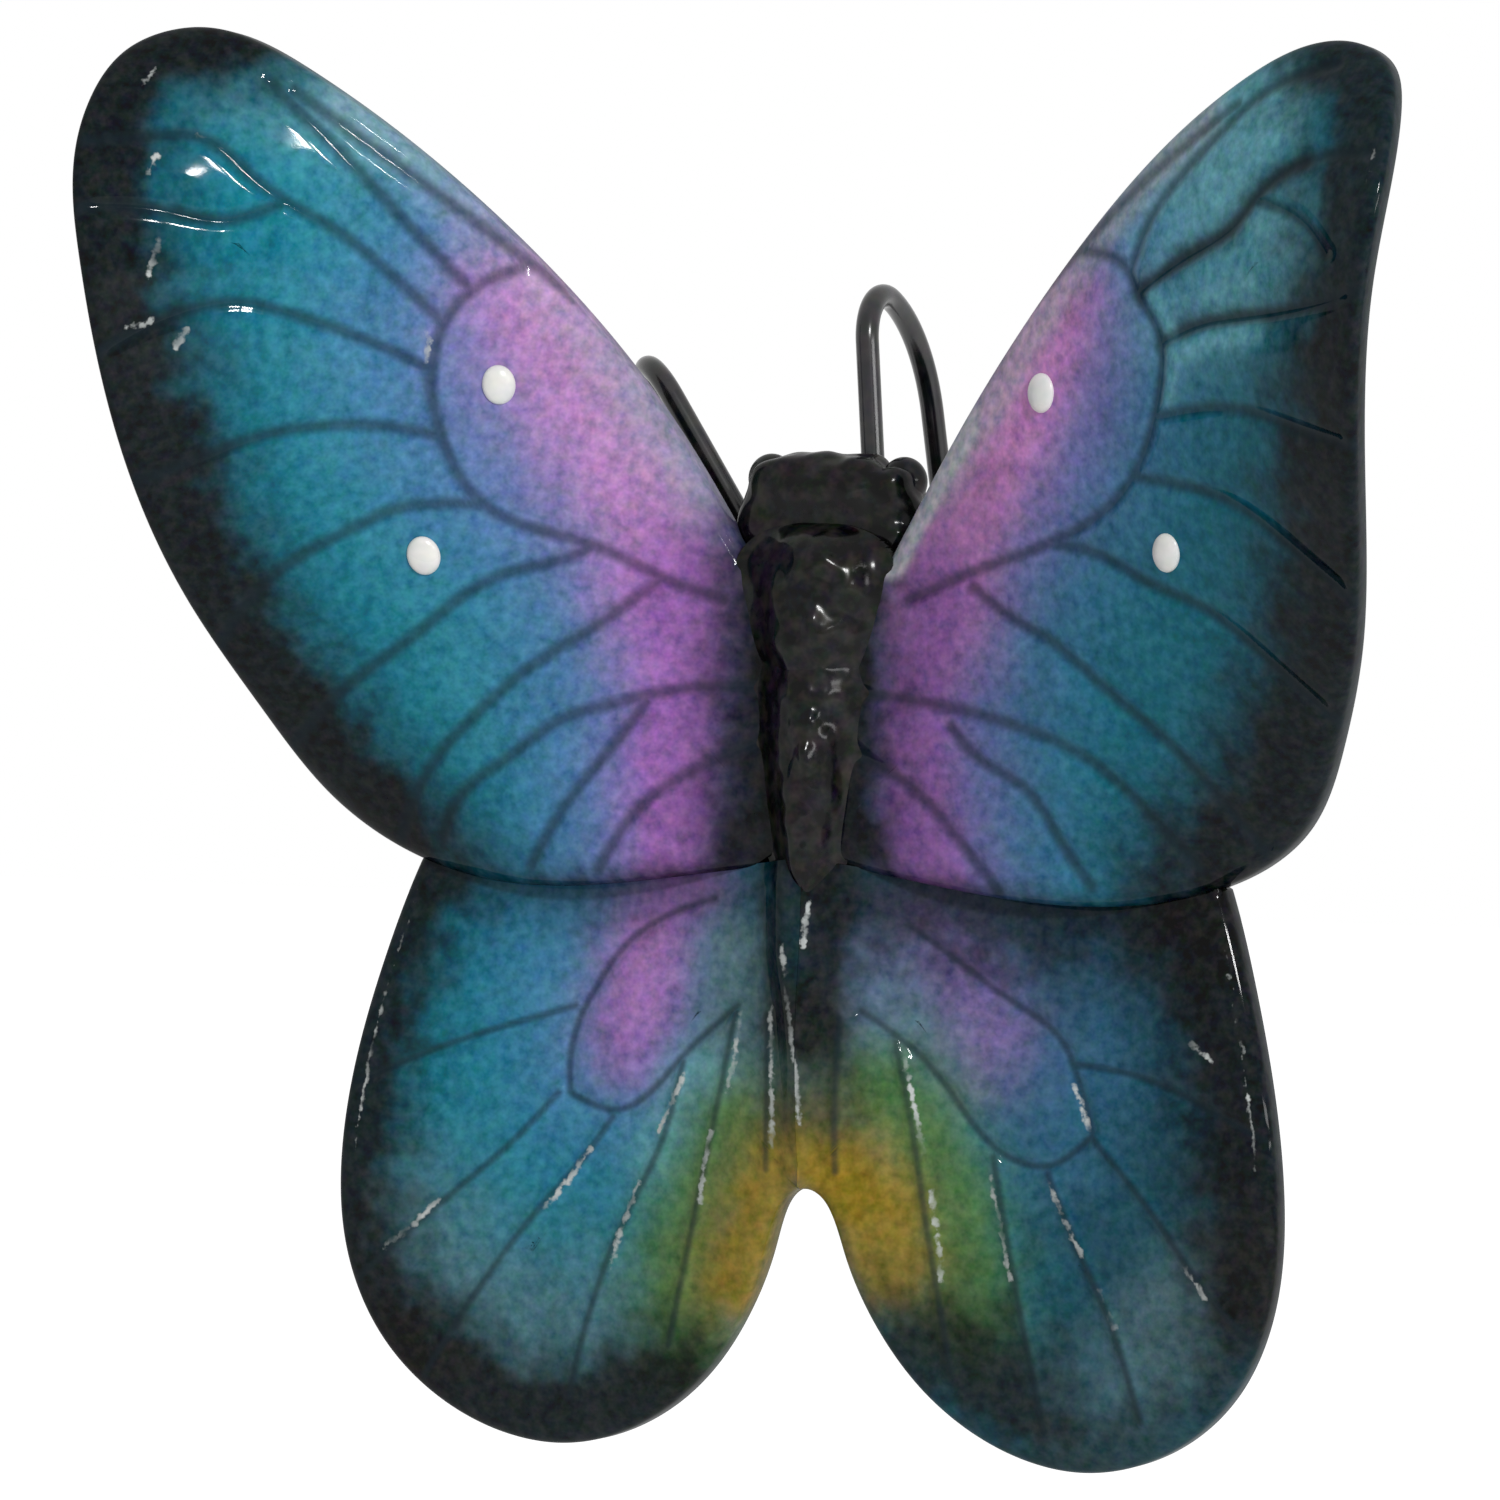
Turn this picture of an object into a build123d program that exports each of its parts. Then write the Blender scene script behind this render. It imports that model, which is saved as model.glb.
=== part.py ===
from build123d import *
import os

# Butterfly pot hanger: a cast butterfly that hangs head up on a pot's rim by two wire hooks.
# Millimetres, +Z up. The origin is the centre of the flat back, the back faces +Y and the
# viewer's right is +X. The wings, eyes and dots come in pairs about the plane X = 0.

# Wings, measured from the root line that runs through the origin's height
wing_thickness = 4.0
root_depth = 6.5
forewing_span = 46.0
forewing_rise = 48.0
forewing_lift = 25.0
hindwing_span = 34.0
hindwing_drop = 48.3
hindwing_sweep = 5.0
rim_round = 1.4

# Body pieces in front of the wing roots
thorax_width = 10.0
thorax_height = 10.4
thorax_bulge = 3.4
thorax_centre_height = 10.4
abdomen_width = 6.8
abdomen_bulge = 4.0
abdomen_top = 9.0
tail_drop = 10.0

# Head, above the wing roots
head_width = 11.4
head_height = 7.6
head_depth = 5.8
head_top = 20.4
head_round = 2.4
eye_diameter = 3.5
eye_spread = 10.8
eye_below_top = 1.8
eye_behind_centre = 1.0

# Flat backed boss behind the wing roots
underside_width = 13.0
underside_height = 25.0
underside_round = 1.0

# Wire hooks, set in the boss and bent to the back
wire_diameter = 1.6
wire_clearance = 0.05
wire_cover = 0.8
wire_to_head = 0.3
right_hook_foot = 2.1
left_hook_foot = 4.4
hook_foot_height = 10.0
hook_socket_depth = 4.0
right_hook_leg = 18.3
left_hook_leg = 16.9
hook_bend_radius = 3.3
hook_sweep_radius = 10.0
hook_end = 8.0
hook_bend_angle = 110
hook_sweep_angle = 60
right_hook_lean_angle = -5
left_hook_lean_angle = 33
right_hook_splay_angle = 4
left_hook_splay_angle = 28

# White enamel drops
dot_diameter = 2.4
dot_height = 0.5
dot_clearance = 0.15

# Wing margins as shares of span and of rise or drop, from the leading edge round to the body
forewing_margin_shares = [
    (0.110, 0.270),
    (0.235, 0.470),
    (0.457, 0.730),
    (0.728, 0.942),
    (0.896, 0.994),
    (0.970, 0.960),
    (1.000, 0.885),
    (0.985, 0.660),
    (0.955, 0.420),
    (0.902, 0.170),
    (0.841, 0.035),
    (0.765, -0.085),
    (0.635, -0.169),
    (0.393, -0.204),
    (0.130, -0.173),
    (0.000, -0.156),
]
forewing_root_top_share = 0.25
hindwing_margin_shares = [
    (0.800, -0.080),
    (0.862, -0.185),
    (0.918, -0.308),
    (0.995, -0.590),
    (0.985, -0.735),
    (0.906, -0.870),
    (0.753, -0.965),
    (0.553, -1.000),
    (0.356, -0.959),
    (0.229, -0.888),
    (0.144, -0.805),
    (0.079, -0.712),
    (0.038, -0.645),
    (0.000, -0.617),
]
hindwing_root_top_share = -0.05

# Control nets of the wing surfaces: rows go outwards from the body, columns go up.
# An entry is a share of the lift towards the viewer, or of the hind wings' sweep to the back.
forewing_lift_shares = [
    (0.00, 0.00, 0.00, 0.00),
    (0.18, 0.10, 0.14, 0.34),
    (-0.18, 0.36, 0.72, 0.64),
    (-0.72, 0.88, 1.96, 0.34),
]
forewing_net_reach_share = 1.087
forewing_net_low_share = -0.3125
forewing_net_high_share = 1.146
hindwing_sweep_shares = [
    (0.5, 0.0, -0.3, -0.1),
    (1.4, 0.9, 0.6, 0.6),
    (1.2, 0.2, 0.0, 0.8),
    (0.4, -1.1, -1.1, 0.3),
]
hindwing_net_reach_share = 1.324
hindwing_net_low_share = -1.139
hindwing_net_high_share = 0.104

# Dot centres as shares of the fore wing's span and rise
right_dot_shares = [(0.384, 0.511), (0.601, 0.292)]
left_dot_shares = [(0.451, 0.504), (0.562, 0.259)]

# Places worked out from the sizes above; the wire lies in the boss with its cover behind it
wing_front = -root_depth - wing_thickness / 2
block_depth = root_depth + wing_thickness + 2 * forewing_lift
forewing_net_low = forewing_net_low_share * forewing_rise
forewing_net_high = forewing_net_high_share * forewing_rise
thorax_depth = wing_front - thorax_bulge + thorax_width / 2
abdomen_depth = wing_front - abdomen_bulge + abdomen_width / 2
wire_depth = -wire_cover - wire_diameter / 2
head_depth_centre = wire_depth - wire_diameter / 2 - wire_to_head - head_depth / 2
head_centre = (0, head_depth_centre, head_top - head_height / 2)
dot_ball_radius = (dot_diameter**2 / 4 + dot_height**2) / (2 * dot_height)


def scaled(shares, across, up):
    """Outline points from shares of a width and a height."""
    return [(across * share_across, up * share_up) for share_across, share_up in shares]


def wing_front_face(shares, forward, reach, low, high):
    """Front surface of a wing, from its control net over a plan of reach by low to high."""
    steps = len(shares) - 1
    points = []
    for i, row in enumerate(shares):
        line = []
        for j, share in enumerate(row):
            height = low + (high - low) * j / steps
            line.append((reach * i / steps, wing_front - forward * share, height))
        points.append(line)
    return Face.make_bezier_surface(points)


def spheroid(centre, width, height):
    """A round lump, circular seen from above and elliptical from the side."""
    half_angle = 180
    with BuildPart() as lump:
        with BuildSketch(Plane.XZ):
            with BuildLine():
                start_angle = -half_angle / 2
                side = EllipticalCenterArc((0, 0), width / 2, height / 2, start_angle, arc_size=half_angle)
                Line(side @ 1, side @ 0)
            make_face()
        revolve(axis=Axis.Z)
    return lump.part.moved(Location(centre))


def wing_block(plan, face):
    """A wing with sharp edges: the plate behind its front surface, cut to its outline."""
    with BuildPart() as block:
        with BuildSketch(Plane.XZ):
            add(plan)
        extrude(amount=block_depth, both=True)
        add(Solid.extrude(face, (0, wing_thickness, 0)), mode=Mode.INTERSECT)
    return block.part


# Plan of a fore wing, and of a hind wing that butts against the fore wing's lower edge
with BuildSketch() as forewing_plan:
    with BuildLine():
        fore_margin = Spline(*scaled(forewing_margin_shares, forewing_span, forewing_rise))
        Polyline(fore_margin @ 1, (0, forewing_root_top_share * forewing_rise), fore_margin @ 0)
    make_face()

with BuildSketch() as hindwing_plan:
    with BuildLine():
        hind_margin = Spline(*scaled(hindwing_margin_shares, hindwing_span, hindwing_drop))
        Polyline(hind_margin @ 1, (0, hindwing_root_top_share * hindwing_drop), hind_margin @ 0)
    make_face()
    add(forewing_plan.sketch, mode=Mode.SUBTRACT)

# The fore wings curve up towards the viewer, the hind wings sweep a little to the back
forewing_face = wing_front_face(
    forewing_lift_shares,
    forewing_lift,
    forewing_net_reach_share * forewing_span,
    forewing_net_low,
    forewing_net_high,
)
hindwing_face = wing_front_face(
    hindwing_sweep_shares,
    -hindwing_sweep,
    hindwing_net_reach_share * hindwing_span,
    hindwing_net_low_share * hindwing_drop,
    hindwing_net_high_share * hindwing_drop,
)
forewing_block = wing_block(forewing_plan.sketch, forewing_face)
hindwing_block = wing_block(hindwing_plan.sketch, hindwing_face)
wing_seats = [forewing_block, hindwing_block]
wing_seats += [block.mirror(Plane.YZ) for block in wing_seats]

# Wings with rounded rims
with BuildPart() as right_forewing:
    add(forewing_block)
    fillet(right_forewing.edges().sort_by(SortBy.LENGTH)[-2:], rim_round)

with BuildPart() as right_hindwing:
    add(hindwing_block)
    fillet(right_hindwing.edges().sort_by(SortBy.LENGTH)[-2:], rim_round)

with BuildPart() as left_forewing:
    add(right_forewing.part.mirror(Plane.YZ))

with BuildPart() as left_hindwing:
    add(right_hindwing.part.mirror(Plane.YZ))

# Thorax and abdomen, seated on the fronts of the wing roots
thorax_centre = (0, thorax_depth, thorax_centre_height)
thorax_lump = spheroid(thorax_centre, thorax_width, thorax_height)
with BuildPart() as thorax:
    add(thorax_lump)
    split(bisect_by=Plane.XZ.offset(root_depth))
    add(wing_seats, mode=Mode.SUBTRACT)

abdomen_length = abdomen_top + tail_drop
abdomen_centre = (0, abdomen_depth, abdomen_top - abdomen_length / 2)
abdomen_lump = spheroid(abdomen_centre, abdomen_width, abdomen_length)
with BuildPart() as abdomen:
    add(abdomen_lump)
    split(bisect_by=Plane.XZ.offset(root_depth))
    add([thorax.part, *wing_seats], mode=Mode.SUBTRACT)

# Head, which sits behind the arch of the thorax and on the wing roots
with BuildPart() as head:
    with Locations(head_centre):
        Box(head_width, head_depth, head_height)
    fillet(head.edges(), head_round)
    add([thorax.part, *wing_seats], mode=Mode.SUBTRACT)


def eye(side):
    """An eye ball seated on an upper corner of the head, on the side of X that side gives."""
    with BuildPart() as ball:
        eye_depth = head_depth_centre + eye_behind_centre
        with Locations((side * eye_spread / 2, eye_depth, head_top - eye_below_top)):
            Sphere(eye_diameter / 2)
        add(head.part, mode=Mode.SUBTRACT)
    return ball.part


def hook_plane(side, foot, lean_angle, splay_angle):
    """Plane of a bent wire: its origin is the socket's floor, x goes to the back and y up the leg."""
    up = Vector(0, 0, 1).rotate(Axis.Y, side * lean_angle)
    back = Vector(0, 1, 0).rotate(Axis((0, 0, 0), up), -side * splay_angle)
    mouth = Vector(side * foot, wire_depth, hook_foot_height)
    return Plane(mouth - up * hook_socket_depth, x_dir=back, z_dir=back.cross(up))


def wire_hook(plane, leg_length):
    """A wire that rises from its socket, bends to the back and comes down behind the rim."""
    with BuildPart() as wire:
        with BuildLine(plane):
            leg = Line((0, 0), (0, hook_socket_depth + leg_length))
            bend = JernArc(leg @ 1, leg % 1, hook_bend_radius, -hook_bend_angle)
            sweep_arc = JernArc(bend @ 1, bend % 1, hook_sweep_radius, -hook_sweep_angle)
            Line(sweep_arc @ 1, sweep_arc @ 1 + hook_end * (sweep_arc % 1))
        with BuildSketch(Plane(plane.origin, z_dir=plane.y_dir)):
            Circle(wire_diameter / 2)
        sweep()
    return wire.part


def enamel_drops(side, shares, wing):
    """Two white drops on the front of a fore wing, each the cap of a ball, set off by a clearance."""
    with BuildPart() as drops:
        for share_across, share_up in shares:
            across = share_across / forewing_net_reach_share
            up = (share_up * forewing_rise - forewing_net_low) / (forewing_net_high - forewing_net_low)
            spot = forewing_face.position_at(across, up)
            inward = forewing_face.normal_at(across, up)
            inward = inward if inward.Y > 0 else -inward
            ball = spot + inward * (dot_ball_radius - dot_height)
            with Locations((side * ball.X, ball.Y, ball.Z)):
                Sphere(dot_ball_radius)
        add(wing, mode=Mode.SUBTRACT)
    return drops.part.moved(Location((0, -dot_clearance, 0)))


right_hook_plane = hook_plane(1, right_hook_foot, right_hook_lean_angle, right_hook_splay_angle)
left_hook_plane = hook_plane(-1, left_hook_foot, left_hook_lean_angle, left_hook_splay_angle)

# Underside: the boss behind the wing roots, with its flat back and the wires' sockets
with BuildPart() as underside:
    with BuildSketch(Plane.XZ):
        Ellipse(underside_width / 2, underside_height / 2)
    extrude(amount=root_depth)
    fillet(underside.edges().sort_by(Axis.Y)[-1], underside_round)
    add(wing_seats, mode=Mode.SUBTRACT)
    for plane in [right_hook_plane, left_hook_plane]:
        with BuildSketch(Plane(plane.origin, z_dir=plane.y_dir)):
            Circle(wire_diameter / 2 + wire_clearance)
        extrude(amount=underside_height, mode=Mode.SUBTRACT)

pieces = {
    "right_forewing": right_forewing.part,
    "left_forewing": left_forewing.part,
    "right_hindwing": right_hindwing.part,
    "left_hindwing": left_hindwing.part,
    "thorax": thorax.part,
    "abdomen": abdomen.part,
    "head": head.part,
    "right_eye": eye(1),
    "left_eye": eye(-1),
    "underside": underside.part,
    "right_hook": wire_hook(right_hook_plane, right_hook_leg),
    "left_hook": wire_hook(left_hook_plane, left_hook_leg),
    "right_wing_dots": enamel_drops(1, right_dot_shares, right_forewing.part),
    "left_wing_dots": enamel_drops(-1, left_dot_shares, left_forewing.part),
}

os.makedirs("parts", exist_ok=True)
for name, piece in pieces.items():
    piece.label = name
    export_step(piece, f"parts/{name}.step")
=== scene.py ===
import math

import bmesh
import bpy
import numpy as np
from bpy.props import FloatProperty, FloatVectorProperty, PointerProperty
from bpy.types import Operator, Panel, PropertyGroup
from mathutils import Matrix, Vector, noise


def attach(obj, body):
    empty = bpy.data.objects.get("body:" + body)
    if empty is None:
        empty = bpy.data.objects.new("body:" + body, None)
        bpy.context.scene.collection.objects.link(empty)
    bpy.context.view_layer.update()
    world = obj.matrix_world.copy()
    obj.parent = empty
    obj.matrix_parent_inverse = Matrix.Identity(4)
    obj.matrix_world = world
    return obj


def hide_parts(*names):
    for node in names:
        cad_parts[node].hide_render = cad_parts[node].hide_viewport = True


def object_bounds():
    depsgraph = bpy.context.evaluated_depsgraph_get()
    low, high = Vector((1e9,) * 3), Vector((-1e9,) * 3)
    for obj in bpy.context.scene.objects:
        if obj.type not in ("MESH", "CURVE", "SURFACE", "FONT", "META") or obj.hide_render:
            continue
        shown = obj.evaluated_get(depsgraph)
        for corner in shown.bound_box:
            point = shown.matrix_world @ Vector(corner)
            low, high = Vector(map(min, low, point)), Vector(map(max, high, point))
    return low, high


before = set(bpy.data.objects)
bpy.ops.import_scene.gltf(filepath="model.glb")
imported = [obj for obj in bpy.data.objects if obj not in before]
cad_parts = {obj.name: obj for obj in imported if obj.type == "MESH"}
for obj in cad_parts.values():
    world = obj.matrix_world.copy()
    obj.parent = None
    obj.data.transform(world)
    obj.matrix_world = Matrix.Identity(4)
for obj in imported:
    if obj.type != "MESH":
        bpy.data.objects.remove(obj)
cad_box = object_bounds()

bl_info = {
    "name": "Butterfly Pot Hanger",
    "version": (1, 0, 0),
    "blender": (4, 5, 0),
    "location": "View3D > Sidebar > Butterfly",
    "description": "Dresses a lacquered butterfly pot hanger round its fixed solids",
    "category": "Add Mesh",
}

MM = 0.001
SIDES = {"right": 1, "left": -1}

# Points along the wings' curves, and how the hind wings' upper edge runs under the fore wings:
# its gap from the outer corner, its underlap and the height below which all the margin is kept
MARGIN_POINTS = 500
LOWER_EDGE_POINTS = 200
CORNER_GAP = 0.5
UNDERLAP = 0.25
WELL_BELOW_EDGE = -12

# Millimetres: a gap that ink and painted highlights don't reach, the rim's least radius, the fray
# of the painted highlights' edges and the step over which a slope is measured
FAR = 3.0
SHARP_RIM = 0.012
HIGHLIGHT_AND_WEAR_FRAY = 0.16
SLOPE_STEP = 0.2
# Radians that keep the rim's middle row off the quarter turn, where the wing has no front or back
OFF_QUARTER_TURN = 0.01
# Metres: distance for merging, room between the boss and the wings, and the lacquer's ripple
MERGE_DISTANCE = 6e-6
SEAT_GAP = 0.2 * MM
RIPPLE_HEIGHT = 0.2 * MM
# Shares: how ragged the sprayed edges are, and how much of the wire its ends' rounding takes
BLACK_SPATTER = 0.4
SPATTER = 0.15
WIRE_END_SHARE = 0.2
LUMP_SEEDS = {"left": 3.0, "right": 8.0}

# Wrinkles in millimetres: size, height and, on the body, upward stretch
HEAD_WRINKLES = [(1.8, 0.3), (0.9, 0.06)]
THORAX_WRINKLES = [(2.2, 0.9, 1.3), (1.0, 0.2, 1.5)]
ABDOMEN_WRINKLES = [(2.0, 0.6, 2.5), (0.9, 0.3, 1.6)]

# Lamps: place and size in metres, and share of the power
LAMPS = [
    ("key_lamp", (0.535, -0.568, 0.36), (0.03, 0.08), 0.6),
    ("second_lamp", (0.585, -0.516, 0.36), (0.03, 0.08), 0.6),
    ("side_lamp", (0.862, -0.215, 0.15), (0.5, 0.06), 0.5),
]
# What the camera looks at: its depth, and how far to the left and up in the picture
CAMERA_AIM = (6.5 * MM, 4.91 * MM, 0.14 * MM)

# Wing margins in millimetres (outwards, up), from the leading edge round to the body
FORE_MARGIN = [
    (5.06, 12.96), (10.81, 22.56), (21.02, 35.04), (33.49, 45.22), (41.22, 47.71), (44.62, 46.08),
    (46.0, 42.48), (45.31, 31.68), (43.93, 20.16), (41.49, 8.16), (38.69, 1.68), (35.19, -4.08),
    (29.21, -8.11), (18.08, -9.79), (5.98, -8.3), (0.0, -7.49),
]
HIND_MARGIN = [
    (27.2, -3.86), (29.31, -8.94), (31.21, -14.88), (33.83, -28.5), (33.49, -35.5), (30.8, -42.02),
    (25.6, -46.61), (18.8, -48.3), (12.1, -46.32), (7.79, -42.89), (4.9, -38.88), (2.9, -34.39),
    (1.95, -31.5), (1.2, -30.3), (0.55, -29.87), (0.0, -29.75),
]
FORE_ROOT_TOP = (0.0, 12.0)
FORE_LOWER_EDGE_FROM = 9

# Control nets of the wing surfaces in millimetres, rows outwards and columns up, with the plan
# they span: the fore wings' lift towards the viewer and the hind wings' sweep to the back
FORE_LIFT = [(0, 0, 0, 0), (4.5, 2.5, 3.5, 8.5), (-4.5, 9.0, 18.0, 16.0), (-18.0, 22.0, 49.0, 8.5)]
FORE_PLAN = (50.0, -15.0, 55.0)
HIND_SWEEP = [
    (2.5, 0, -1.5, -0.5), (7.0, 4.5, 3.0, 3.0), (6.0, 1.0, 0, 4.0), (2.0, -5.5, -5.5, 1.5),
]
HIND_PLAN = (45.0, -55.0, 5.0)

# Veins in millimetres (outwards, up); they were scored by hand and differ from side to side
FORE_VEINS = {
    "left": {
        "costa": [(5.5, 16.5), (12, 26.2), (19, 32.5), (26, 38), (33.5, 43.5)],
        "cell": [
            (19, 32.5), (22.5, 30.5), (24, 28.5), (25, 25), (24.5, 20.5), (22, 16), (15, 13.5),
            (10.5, 11.5), (6.5, 10.2),
        ],
        "first": [(22.5, 30.5), (26.5, 35), (30, 39), (35, 44)],
        "second": [
            (24.5, 28.5), (28.5, 32.5), (31, 34.5), (33.5, 36), (36, 38), (38.5, 40), (41.5, 40),
            (45.5, 39.5),
        ],
        "second_fork": [(33.5, 36), (37, 34.5), (40.5, 35), (45.3, 35)],
        "third": [(25, 25), (28, 26.5), (33.5, 28.5), (36, 29), (38.5, 28.5), (44.5, 25)],
        "fourth": [(24.5, 20.5), (27, 21), (31, 21), (34, 20.5), (39, 18.5), (43.5, 16.5)],
        "fifth": [(22, 16), (24.5, 16), (27.5, 15.5), (30.5, 14), (34, 12), (40.5, 5.5)],
        "sixth": [(15, 13.5), (17, 12.5), (20.5, 11.5), (24, 9.5), (27, 7), (30.5, 4.5), (37, -1)],
        "seventh": [(10.5, 11.5), (15, 8), (19.5, 5), (23, 2), (26.5, -1.5), (30, -7)],
        "eighth": [(3, 4.2), (9, 4), (13, 3), (17.5, 1.5), (21, -1), (25, -4), (27, -7.5)],
        "ninth": [(11.5, 3), (14.5, -1), (17, -4), (20, -8.5)],
        "tenth": [(3, 0.8), (7, -1), (10.5, -3), (15, -8.5)],
    },
    "right": {
        "costa": [(5.5, 16.5), (12, 26.2), (19, 32.8), (26, 38.5), (33.5, 43.5)],
        "cell": [
            (20.5, 34), (25, 32.5), (25.8, 31), (27.5, 28.5), (27.7, 26), (27, 23), (25, 19),
            (18, 14.5), (12, 12.5), (7, 10.5),
        ],
        "first": [(25, 32.5), (27, 36.5), (31, 40.5), (36, 44.5), (41, 46)],
        "second": [(26, 31.3), (30, 33.5), (34, 35.5), (36, 37.5), (39.5, 39.5), (45.7, 40)],
        "second_fork": [(36, 37), (40, 35.5), (42, 33.5)],
        "third": [(28, 28), (31, 29), (35.5, 29.5), (40, 30), (45, 31)],
        "fourth": [(27.3, 23), (31, 23.5), (34, 23.5), (38.5, 22.5), (44, 21)],
        "fifth": [(25, 19), (29, 18.5), (33, 17.5), (38, 14.5), (42.5, 11)],
        "sixth": [(18, 14.5), (21.5, 14), (26, 12), (30, 10.5), (34.5, 7.5), (39.5, 3)],
        "seventh": [(12, 11.5), (15, 9.5), (18, 8), (22, 5), (26.5, 1.5), (32.5, -5.5)],
        "eighth": [(3, 4.2), (5, 4), (12, 3), (16, 2), (20, 0.5), (24, -2.5), (28, -7)],
        "ninth": [(10.5, 2), (12.5, 0), (16, -2), (18.5, -5.5), (20.5, -8.5)],
        "tenth": [(3, 0.2), (8, -2.5), (11.5, -6), (14, -9)],
    },
}
HIND_VEINS = {
    "left": {
        "cell_outer": [
            (7, -10.2), (11.5, -12), (14, -14), (16, -17), (17, -19), (17.6, -22.5), (17.5, -24),
        ],
        "cell_end": [(17.5, -24), (14, -25), (10, -22), (7.5, -19.5), (5, -17.5)],
        "first": [(17.3, -18), (20.5, -19), (25, -20.5), (33, -24)],
        "second": [(18.2, -24), (21.5, -27.5), (26, -31.5), (32.5, -37.5)],
        "third": [(14.2, -25.5), (16, -28), (19.5, -32), (24, -38), (28, -44)],
        "fourth": [(9, -21.5), (10.5, -27), (13, -32), (15.5, -38), (17.5, -45)],
        "fifth": [(5, -18), (6, -23), (7, -27.5), (8.5, -34.5), (10, -41)],
        "sixth": [(2.5, -18), (2.4, -23), (2.5, -28.5)],
    },
    "right": {
        "cell_outer": [(7, -11.5), (10, -13.5), (14.5, -16.5), (18, -19), (19, -21), (20.3, -25)],
        "cell_end": [
            (20.3, -25.3), (17, -27.5), (13.5, -26.5), (10, -22.5), (7, -19.5), (4, -17.5),
        ],
        "first": [(18.8, -20.5), (23, -21), (27.5, -22.5), (33, -25)],
        "second": [(20.5, -25.5), (25.5, -31), (29, -35.5), (32.5, -39)],
        "third": [(17.3, -28), (19.5, -33), (21.5, -37), (24, -44.5)],
        "fourth": [(13.4, -27), (14.5, -33), (15.5, -38), (17, -45.5)],
        "fifth": [(6.5, -19.5), (7.5, -24), (8.5, -30), (9.5, -36), (10.5, -42)],
        "sixth": [(2.7, -18), (2.5, -23), (2.5, -28.5)],
    },
}

# Stretches of vein, ridge and rim (outwards, up) painted pale as highlights of the lamps; on the
# hind wings' veins they are partly also paint rubbed down to its pale ground
FORE_HIGHLIGHTS_AND_WEAR = {
    "left": [
        [(44.6, 24), (43.9, 19), (42.8, 13), (41.2, 7)], [(40.2, 4.4), (38.2, 0.4), (35.6, -3.6)],
        [(25, 27.6), (25.2, 25.6)], [(45.3, 41.6), (45.4, 40.2)], [(42.1, 44.8), (42.5, 43.6)],
        [(41.0, 38.7), (41.4, 37.5)], [(38.9, 40.2), (37.4, 39.4)], [(40.5, 32.9), (41.0, 30.5)],
        [(39.0, 27.0), (39.7, 25.8)], [(42.4, 27.0), (41.0, 27.5)],
    ],
    "right": [[(45.4, 42.5), (45.3, 38), (44.9, 33)], [(44.2, 24), (43.4, 18)]],
}
HIND_HIGHLIGHTS_AND_WEAR = {
    "left": [
        [(1.15, -13.3), (0.6, -17), (0.08, -21)], [(2.2, -17.5), (2.0, -27)],
        [(4.6, -17.9), (5.1, -21.2), (5.6, -23.3)], [(6.8, -26.1), (7.3, -28.8), (7.6, -31.2)],
        [(8.9, -22.3), (9.9, -24.5), (10.8, -26.3)],
        [(12.2, -29.8), (13.3, -32.6), (14.3, -35.7)],
        [(15.8, -27.7), (17.4, -30.0), (19.2, -32.0)],
        [(26.7, -31.8), (28.8, -33.9), (30.5, -35.1)],
        [(29.0, -10.5), (30.6, -16), (32, -23), (32.8, -29)],
    ],
    "right": [
        [(0.5, -10.2), (0.2, -13.2)], [(0.0, -21), (0.22, -25.2)],
        [(7.1, -20.7), (7.9, -24.1), (8.6, -27.4)],
        [(9.0, -29.5), (9.6, -32.8), (9.8, -35.5)], [(13.1, -28.3), (13.9, -31.3), (14.6, -35.3)],
        [(17.4, -28.6), (18.3, -30.7), (19.8, -33.4)], [(21.1, -35.7), (22.2, -38.3)],
        [(27.4, -33.9), (28.9, -35.9)], [(18.9, -21.9), (20.1, -24.9)],
        [(27.5, -18.8), (29.0, -19.8)],
        [(29.6, -12), (31.4, -19), (32.6, -27)],
    ],
}

# Crest of the ridge between the hind wings, as seen from the front (to the right, up)
RIDGE_LINE = [
    (-1.3, -8.0), (-1.15, -13.5), (-0.6, -17.0), (-0.05, -21.0), (0.2, -25.0), (0.1, -29.9),
]
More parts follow.
